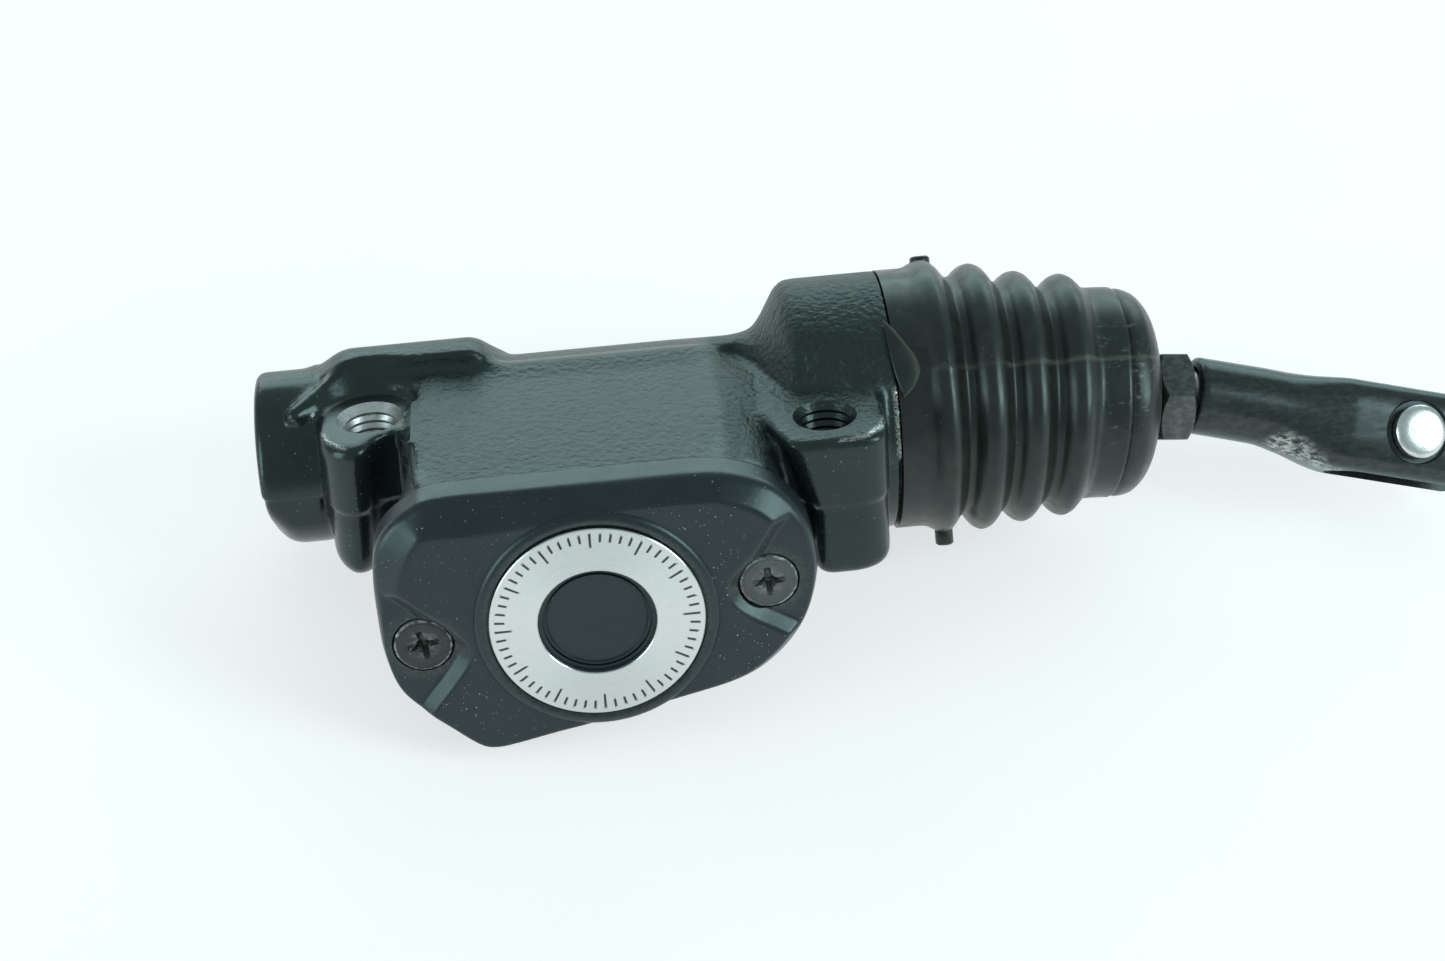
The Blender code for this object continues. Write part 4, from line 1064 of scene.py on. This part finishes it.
ROD_WAY = np.array((math.cos(ROD_TILT), 0, -math.sin(ROD_TILT)))
CLEVIS_WAY = np.array((math.cos(CLEVIS_TILT), 0, -math.sin(CLEVIS_TILT)))
CLEVIS_UP = np.array((math.sin(CLEVIS_TILT), 0, math.cos(CLEVIS_TILT)))
PIVOT = np.array((PIVOT_X, 0, 0))
BEND = PIVOT + ROD_WAY * BEND_AT
PIN_JOINT = next(j for j in frame["record"]["behaviour"]["joints"] if j["name"] == "pin_spin")
PIN_CENTRE = (np.array(PIN_JOINT["pos_m"]) - np.array(AXIS)) / MM
PIN_WAY = np.array(PIN_JOINT["axis"])


def make_rod_pieces():
    steel = machined_metal("rod_steel", (0.5, 0.49, 0.47), 0.34)
    rings = [circle(PIVOT - ROD_WAY * 5, ROD_WAY, 0, 48)]
    for a in range(15, 146, 10):
        t = math.radians(a)
        rings.append(circle(PIVOT - ROD_WAY * 5 * math.cos(t), ROD_WAY, 5 * math.sin(t), 48))
    for s, r in ((4.6, 2.8), (18.5, 2.8), (20, ROD_R), (33.8, ROD_R), (33.8, 6.0), (35.6, 6.0),
                 (35.6, ROD_R)):
        rings.append(circle(PIVOT + ROD_WAY * s, ROD_WAY, r, 48))
    s = 36.0
    while s < NUT_SPAN[1] - 0.5:
        rings.append(circle(PIVOT + ROD_WAY * s, ROD_WAY, ROD_R - 0.3, 48))
        rings.append(circle(PIVOT + ROD_WAY * (s + 0.45), ROD_WAY, ROD_R, 48))
        s += 0.9
    for t, r in ((CLEVIS_START + 0.3, ROD_R - 0.3), (0.9, ROD_R - 0.1), (8.0, ROD_R - 0.1), (8.8, 3.0),
                 (8.8, 0)):
        rings.append(circle(BEND + CLEVIS_WAY * t, CLEVIS_WAY, r, 48))
    rod = piece("push_rod_turned", *skin(rings), steel)
    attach(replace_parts(rod, "push_rod"), "rod")

    low, high = NUT_SPAN
    corner = NUT_FLATS / 2 / math.cos(math.pi / 6)
    nut = turned("nut_hexagon", [(low, 0), (low, corner), (high, corner), (high, 0)], None, 6, PIVOT, ROD_WAY,
                 turn=math.radians(-29))
    cone = [(low - 0.05, 0), (low - 0.05, NUT_FLATS / 2 - 0.15), (low + 0.75, corner + 0.05),
            (high - 0.75, corner + 0.05), (high + 0.05, NUT_FLATS / 2 - 0.15), (high + 0.05, 0)]
    machine(nut, "INTERSECT", [turned("nut_chamfers", cone, None, 96, PIVOT, ROD_WAY)])
    bore = [(low - 1, 0), (low - 1, ROD_R + 0.95), (low + 0.6, ROD_R + 0.2), (high - 0.6, ROD_R + 0.2),
            (high + 1, ROD_R + 0.95), (high + 1, 0)]
    machine(nut, "DIFFERENCE", [turned("nut_bore", bore, None, 48, PIVOT, ROD_WAY)])
    softened(nut, 0.14)
    nut.data.materials.append(black_steel("nut_steel", (0.075, 0.082, 0.08), 0.28, False))
    set_mask(nut, "wear_and_highlight", np.full(len(nut.data.vertices), 0.12))
    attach(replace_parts(nut, "jam_nut"), "rod")


def make_clevis():
    across = np.cross(PIN_WAY, CLEVIS_WAY)
    shape = {
        "radius": monotone([(CLEVIS_START, 5.75), (7.5, 5.8), (12.5, 6.15), (15.5, 6.5), (18, 6.8), (20, 7.0),
                            (21.5, FORK_HALF), (41.2, FORK_HALF), (42.6, 6.75), (43.4, 6.2),
                            (CLEVIS_END, 5.3)]),
        "drop": monotone([(CLEVIS_START, 0), (7.5, 0.05), (12.5, 0.55), (15.5, 0.9), (18, 1.1),
                          (21.5, FORK_DROP), (CLEVIS_END, FORK_DROP + 0.001)]),
        "square": monotone([(CLEVIS_START, 0), (11.5, 0.04), (15.5, 0.25), (18, 0.6), (21.5, 1), (41.2, 1),
                            (CLEVIS_END, 0.6)]),
    }

    def station(t, shrink=0.0):
        r, drop, square = (float(shape[k](t)) for k in ("radius", "drop", "square"))
        power = 2 + 2 * square
        a = np.arange(96) * 2 * math.pi / 96
        reach = (r - shrink) / (np.abs(np.cos(a)) ** power + np.abs(np.sin(a)) ** power) ** (1 / power)
        centre = BEND + CLEVIS_WAY * t - CLEVIS_UP * drop
        return centre + np.outer(reach * np.cos(a), PIN_WAY) + np.outer(reach * np.sin(a), across)

    rings = [station(CLEVIS_START + t, inward)
             for t, inward in ((0, 0.75), (0.08, 0.4), (0.35, 0.1), (0.7, 0))]
    rings += [station(t) for t in np.arange(CLEVIS_START + 1.2, 41.1, 0.6)]
    rings += [station(t) for t in (41.2, 41.8, 42.4, 42.9, 43.3, 43.6, 43.85, CLEVIS_END)]
    obj = piece("clevis_fork", *skin(rings))
    cutters = [turned("socket", [(-6, 0), (-6, ROD_R + 0.3), (9.6, ROD_R + 0.3), (11.6, 0)], None, 48, BEND,
                      CLEVIS_WAY)]
    slot = []
    round_end = [(-7.0 - SLOT / 2 * math.cos(math.radians(a)), SLOT / 2 * math.sin(math.radians(a)))
                 for a in (25, 40, 55, 70, 80, 90)]
    for t, half in [(-10.8, 0.9)] + round_end + [(14, SLOT / 2)]:
        middle = PIN_CENTRE + CLEVIS_WAY * t
        slot.append([middle + PIN_WAY * (a * half) + across * (b * 10)
                     for a, b in ((-1, -1), (1, -1), (1, 1), (-1, 1))])
    cutters.append(piece("slot", *skin(slot)))
    cutters.append(turned("pin_hole", [(-12, 0), (-12, PIN_R + 0.08), (12, PIN_R + 0.08), (12, 0)], None, 48,
                          PIN_CENTRE, PIN_WAY))
    for i, (side, r) in enumerate(((1, 5.0), (-1, 6.7))):
        flat = [(side * 6.5, 0), (side * 6.5, r - 0.3), (side * 6.8, r), (side * 12, r + 0.5), (side * 12, 0)]
        cutters.append(turned(f"flat_{i}", flat, None, 64, PIN_CENTRE, PIN_WAY))
    machine(obj, "DIFFERENCE", cutters)
    obj.data.materials.append(black_steel("clevis_black", (0.04, 0.045, 0.047), 0.25, True))
    p = points_of(obj)
    scuff = [BEND + CLEVIS_WAY * t + np.array((0, -4.6, -3.0 - drop))
             for t, drop in ((11.0, 0), (15.0, 0.5), (19.5, 1.6))]
    set_mask(obj, "wear_and_highlight", np.maximum(near_path(p, scuff, 3.6), 0.04))
    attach(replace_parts(obj, "clevis"), "rod")


def make_pin():
    bright = zinc()
    middle = PIN_CENTRE - PIN_WAY * 9.6
    profile = [(8.75, 0), (8.78, 2.2), (8.72, 3.1), (8.5, 3.7), (8.15, 3.98), (7.3, 4.0), (6.8, 3.9),
               (6.8, PIN_R), (-11.4, PIN_R), (-12.0, PIN_R - 0.7), (-12.0, 0)]
    pin = turned("clevis_pin_turned", profile, None, 64, PIN_CENTRE, PIN_WAY)
    hole = turned("split_hole", [(-5, 0), (-5, 1.0), (5, 1.0), (5, 0)], None, 20, middle, CLEVIS_WAY)
    machine(pin, "DIFFERENCE", [hole])
    pin.data.materials.append(bright)
    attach(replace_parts(pin, "clevis_pin"), "pin")
    profile = [(-6.95, PIN_R + 0.25), (-6.9, PIN_R + 0.4), (-6.9, 6.0), (-7.05, 6.2), (-7.75, 6.2),
               (-7.9, 6.0), (-7.9, PIN_R + 0.4), (-7.85, PIN_R + 0.25)]
    washer = turned("pin_washer_turned", profile, bright, 64, PIN_CENTRE, PIN_WAY, closed=True)
    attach(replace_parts(washer, "pin_washer"), "pin")
    across = np.cross(PIN_WAY, CLEVIS_WAY)
    path = [middle + CLEVIS_WAY * t for t in np.linspace(-6.4, 3.6, 16)]
    for a in range(-60, 241, 12):
        t = math.radians(a)
        path.append(middle + CLEVIS_WAY * (5.9 + 1.6 * math.sin(t)) + across * (1.6 * math.cos(t) - 0.8))
    split = wire("split_pin_wire", path, 0.7, 20, bright)
    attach(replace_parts(split, "split_pin"), "pin")


def wire(name, path, radius, sides, material):
    """Round wire along a path, its section carried along without twisting."""
    path = np.asarray(path, float)
    ways = np.gradient(path, axis=0)
    ways /= np.linalg.norm(ways, axis=1)[:, None]
    u = frame_of(ways[0])[0]
    rings = []
    a = np.arange(sides) * 2 * math.pi / sides
    for point, way in zip(path, ways):
        u = u - way * (u @ way)
        u /= np.linalg.norm(u)
        rings.append(point + radius * (np.outer(np.cos(a), u) + np.outer(np.sin(a), np.cross(way, u))))
    return piece(name, *skin(rings), material)


def carried_nodes():
    """Better materials for the CAD nodes that stay, which sit inside the casting."""
    steel = machined_metal("plain_steel", (0.55, 0.54, 0.52), 0.32)
    looks = {
        "reservoir_diaphragm": rubber("seal_rubber", 0.3), "splash_plate": steel,
        "outlet_seat": machined_metal("seat_brass", (0.75, 0.58, 0.28), 0.3),
        "retaining_ring": black_steel("ring_steel", (0.08, 0.08, 0.078), 0.35, False),
        "rod_retaining_washer": steel, "spring_seat_inner": steel, "spring_seat_outer": steel,
        "spring_cup": steel, "piston": machined_metal("piston_anodised", (0.58, 0.55, 0.46), 0.3),
        "primary_cup": rubber("cup_rubber", 0.2),
    }
    looks["secondary_cup"] = looks["primary_cup"]
    for name, material in looks.items():
        node = frame["nodes"][name]
        node.data.materials.clear()
        node.data.materials.append(material)
    return steel


# ---------------------------------------------------------------- stage, lights and camera

TABLE_UP = Vector((0.075, -0.263, 0.962)).normalized()


def make_stage():
    low = min(TABLE_UP.dot(Vector(c)) for c in itertools.chain(*(
        [v.co for v in node.data.vertices] for node in frame["nodes"].values())))
    u, v = (Vector(w) for w in frame_of(TABLE_UP))
    clearance = 0.0012  # the cover's lower edge stands past its CAD node by nearly a millimetre
    centre = TABLE_UP * (low - clearance)
    reach = 2.0
    mesh = bpy.data.meshes.new("table")
    n = 40
    points = [centre + u * (reach * (2 * i / n - 1)) + v * (reach * (2 * j / n - 1))
              for i in range(n + 1) for j in range(n + 1)]
    faces = [(i * (n + 1) + j, (i + 1) * (n + 1) + j, (i + 1) * (n + 1) + j + 1, i * (n + 1) + j + 1)
             for i in range(n) for j in range(n)]
    mesh.from_pydata(points, [], faces)
    mesh.materials.append(floor_surface())
    table = bpy.data.objects.new("table", mesh)
    bpy.context.scene.collection.objects.link(table)


def area_light(name, place, size, power, colour):
    """A rectangular light in metres and watts that faces the cylinder's middle."""
    data = bpy.data.lights.new(name, "AREA")
    data.shape, data.size, data.size_y = "RECTANGLE", size[0], size[1]
    data.energy, data.color = power, colour
    lamp = bpy.data.objects.new(name, data)
    bpy.context.scene.collection.objects.link(lamp)
    lamp.location = place
    lamp.rotation_mode = "QUATERNION"
    lamp.rotation_quaternion = (AXIS - Vector(place)).to_track_quat("-Z", "Y")


def make_lights():
    back = (Vector((0, 1, 0)) - TABLE_UP * TABLE_UP.y).normalized()
    side = back.cross(TABLE_UP)
    low_sheen = AXIS + back * 1.0 + TABLE_UP * 0.36 + side * 0.1
    area_light("low_back", low_sheen, (1.5, 0.6), 5.4, (0.74, 1.0, 0.98))
    area_light("right", AXIS + Vector((0.83, -0.48, 0.30)) * 0.9, (0.35, 0.5), 3.4, (0.8, 1.0, 1.0))
    area_light("left", AXIS + Vector((-0.84, -0.40, 0.22)) * 0.9, (0.4, 0.5), 2.2, (0.8, 1.0, 1.0))
    studio = bpy.data.worlds.new("studio")
    studio.use_nodes = True
    studio.node_tree.nodes["Background"].inputs["Color"].default_value = (0.78, 0.99, 1.0, 1)
    studio.node_tree.nodes["Background"].inputs["Strength"].default_value = 0.45
    bpy.context.scene.world = studio
    bpy.context.scene.view_settings.view_transform = "Standard"


def make_camera():
    azimuth, elevation, roll = (math.radians(a) for a in (-3.31, 29.34, -3.94))
    back = Vector((math.sin(azimuth) * math.cos(elevation), -math.cos(azimuth) * math.cos(elevation),
                   math.sin(elevation)))
    right = Vector((math.cos(azimuth), math.sin(azimuth), 0))
    up = back.cross(right)
    x_way = right * math.cos(roll) + up * math.sin(roll)
    y_way = up * math.cos(roll) - right * math.sin(roll)
    data = bpy.data.cameras.new("camera")
    data.lens, data.sensor_width, data.clip_start = 67.6, 36.0, 0.01
    camera = bpy.data.objects.new("camera", data)
    bpy.context.scene.collection.objects.link(camera)
    camera.matrix_world = Matrix.Translation(AXIS + Vector((-2.24, -353.87, 188.16)) * MM) @ Matrix(
        (x_way, y_way, back)).transposed().to_4x4()
    bpy.context.scene.camera = camera


make_body()
make_cover()
make_label()
make_screw("screw_left", SCREWS[0], 12, "cover_screw_left",
           black_steel("screw_black", (0.055, 0.06, 0.06), 0.45, False, 0.4))
make_screw("screw_right", SCREWS[1], 4, "cover_screw_right",
           black_steel("screw_dusty", (0.11, 0.118, 0.115), 0.5, False, 0.8))
make_boot()
plain_steel = carried_nodes()
make_springs(plain_steel)
make_rod_pieces()
make_clevis()
make_pin()
make_stage()
make_lights()
make_camera()
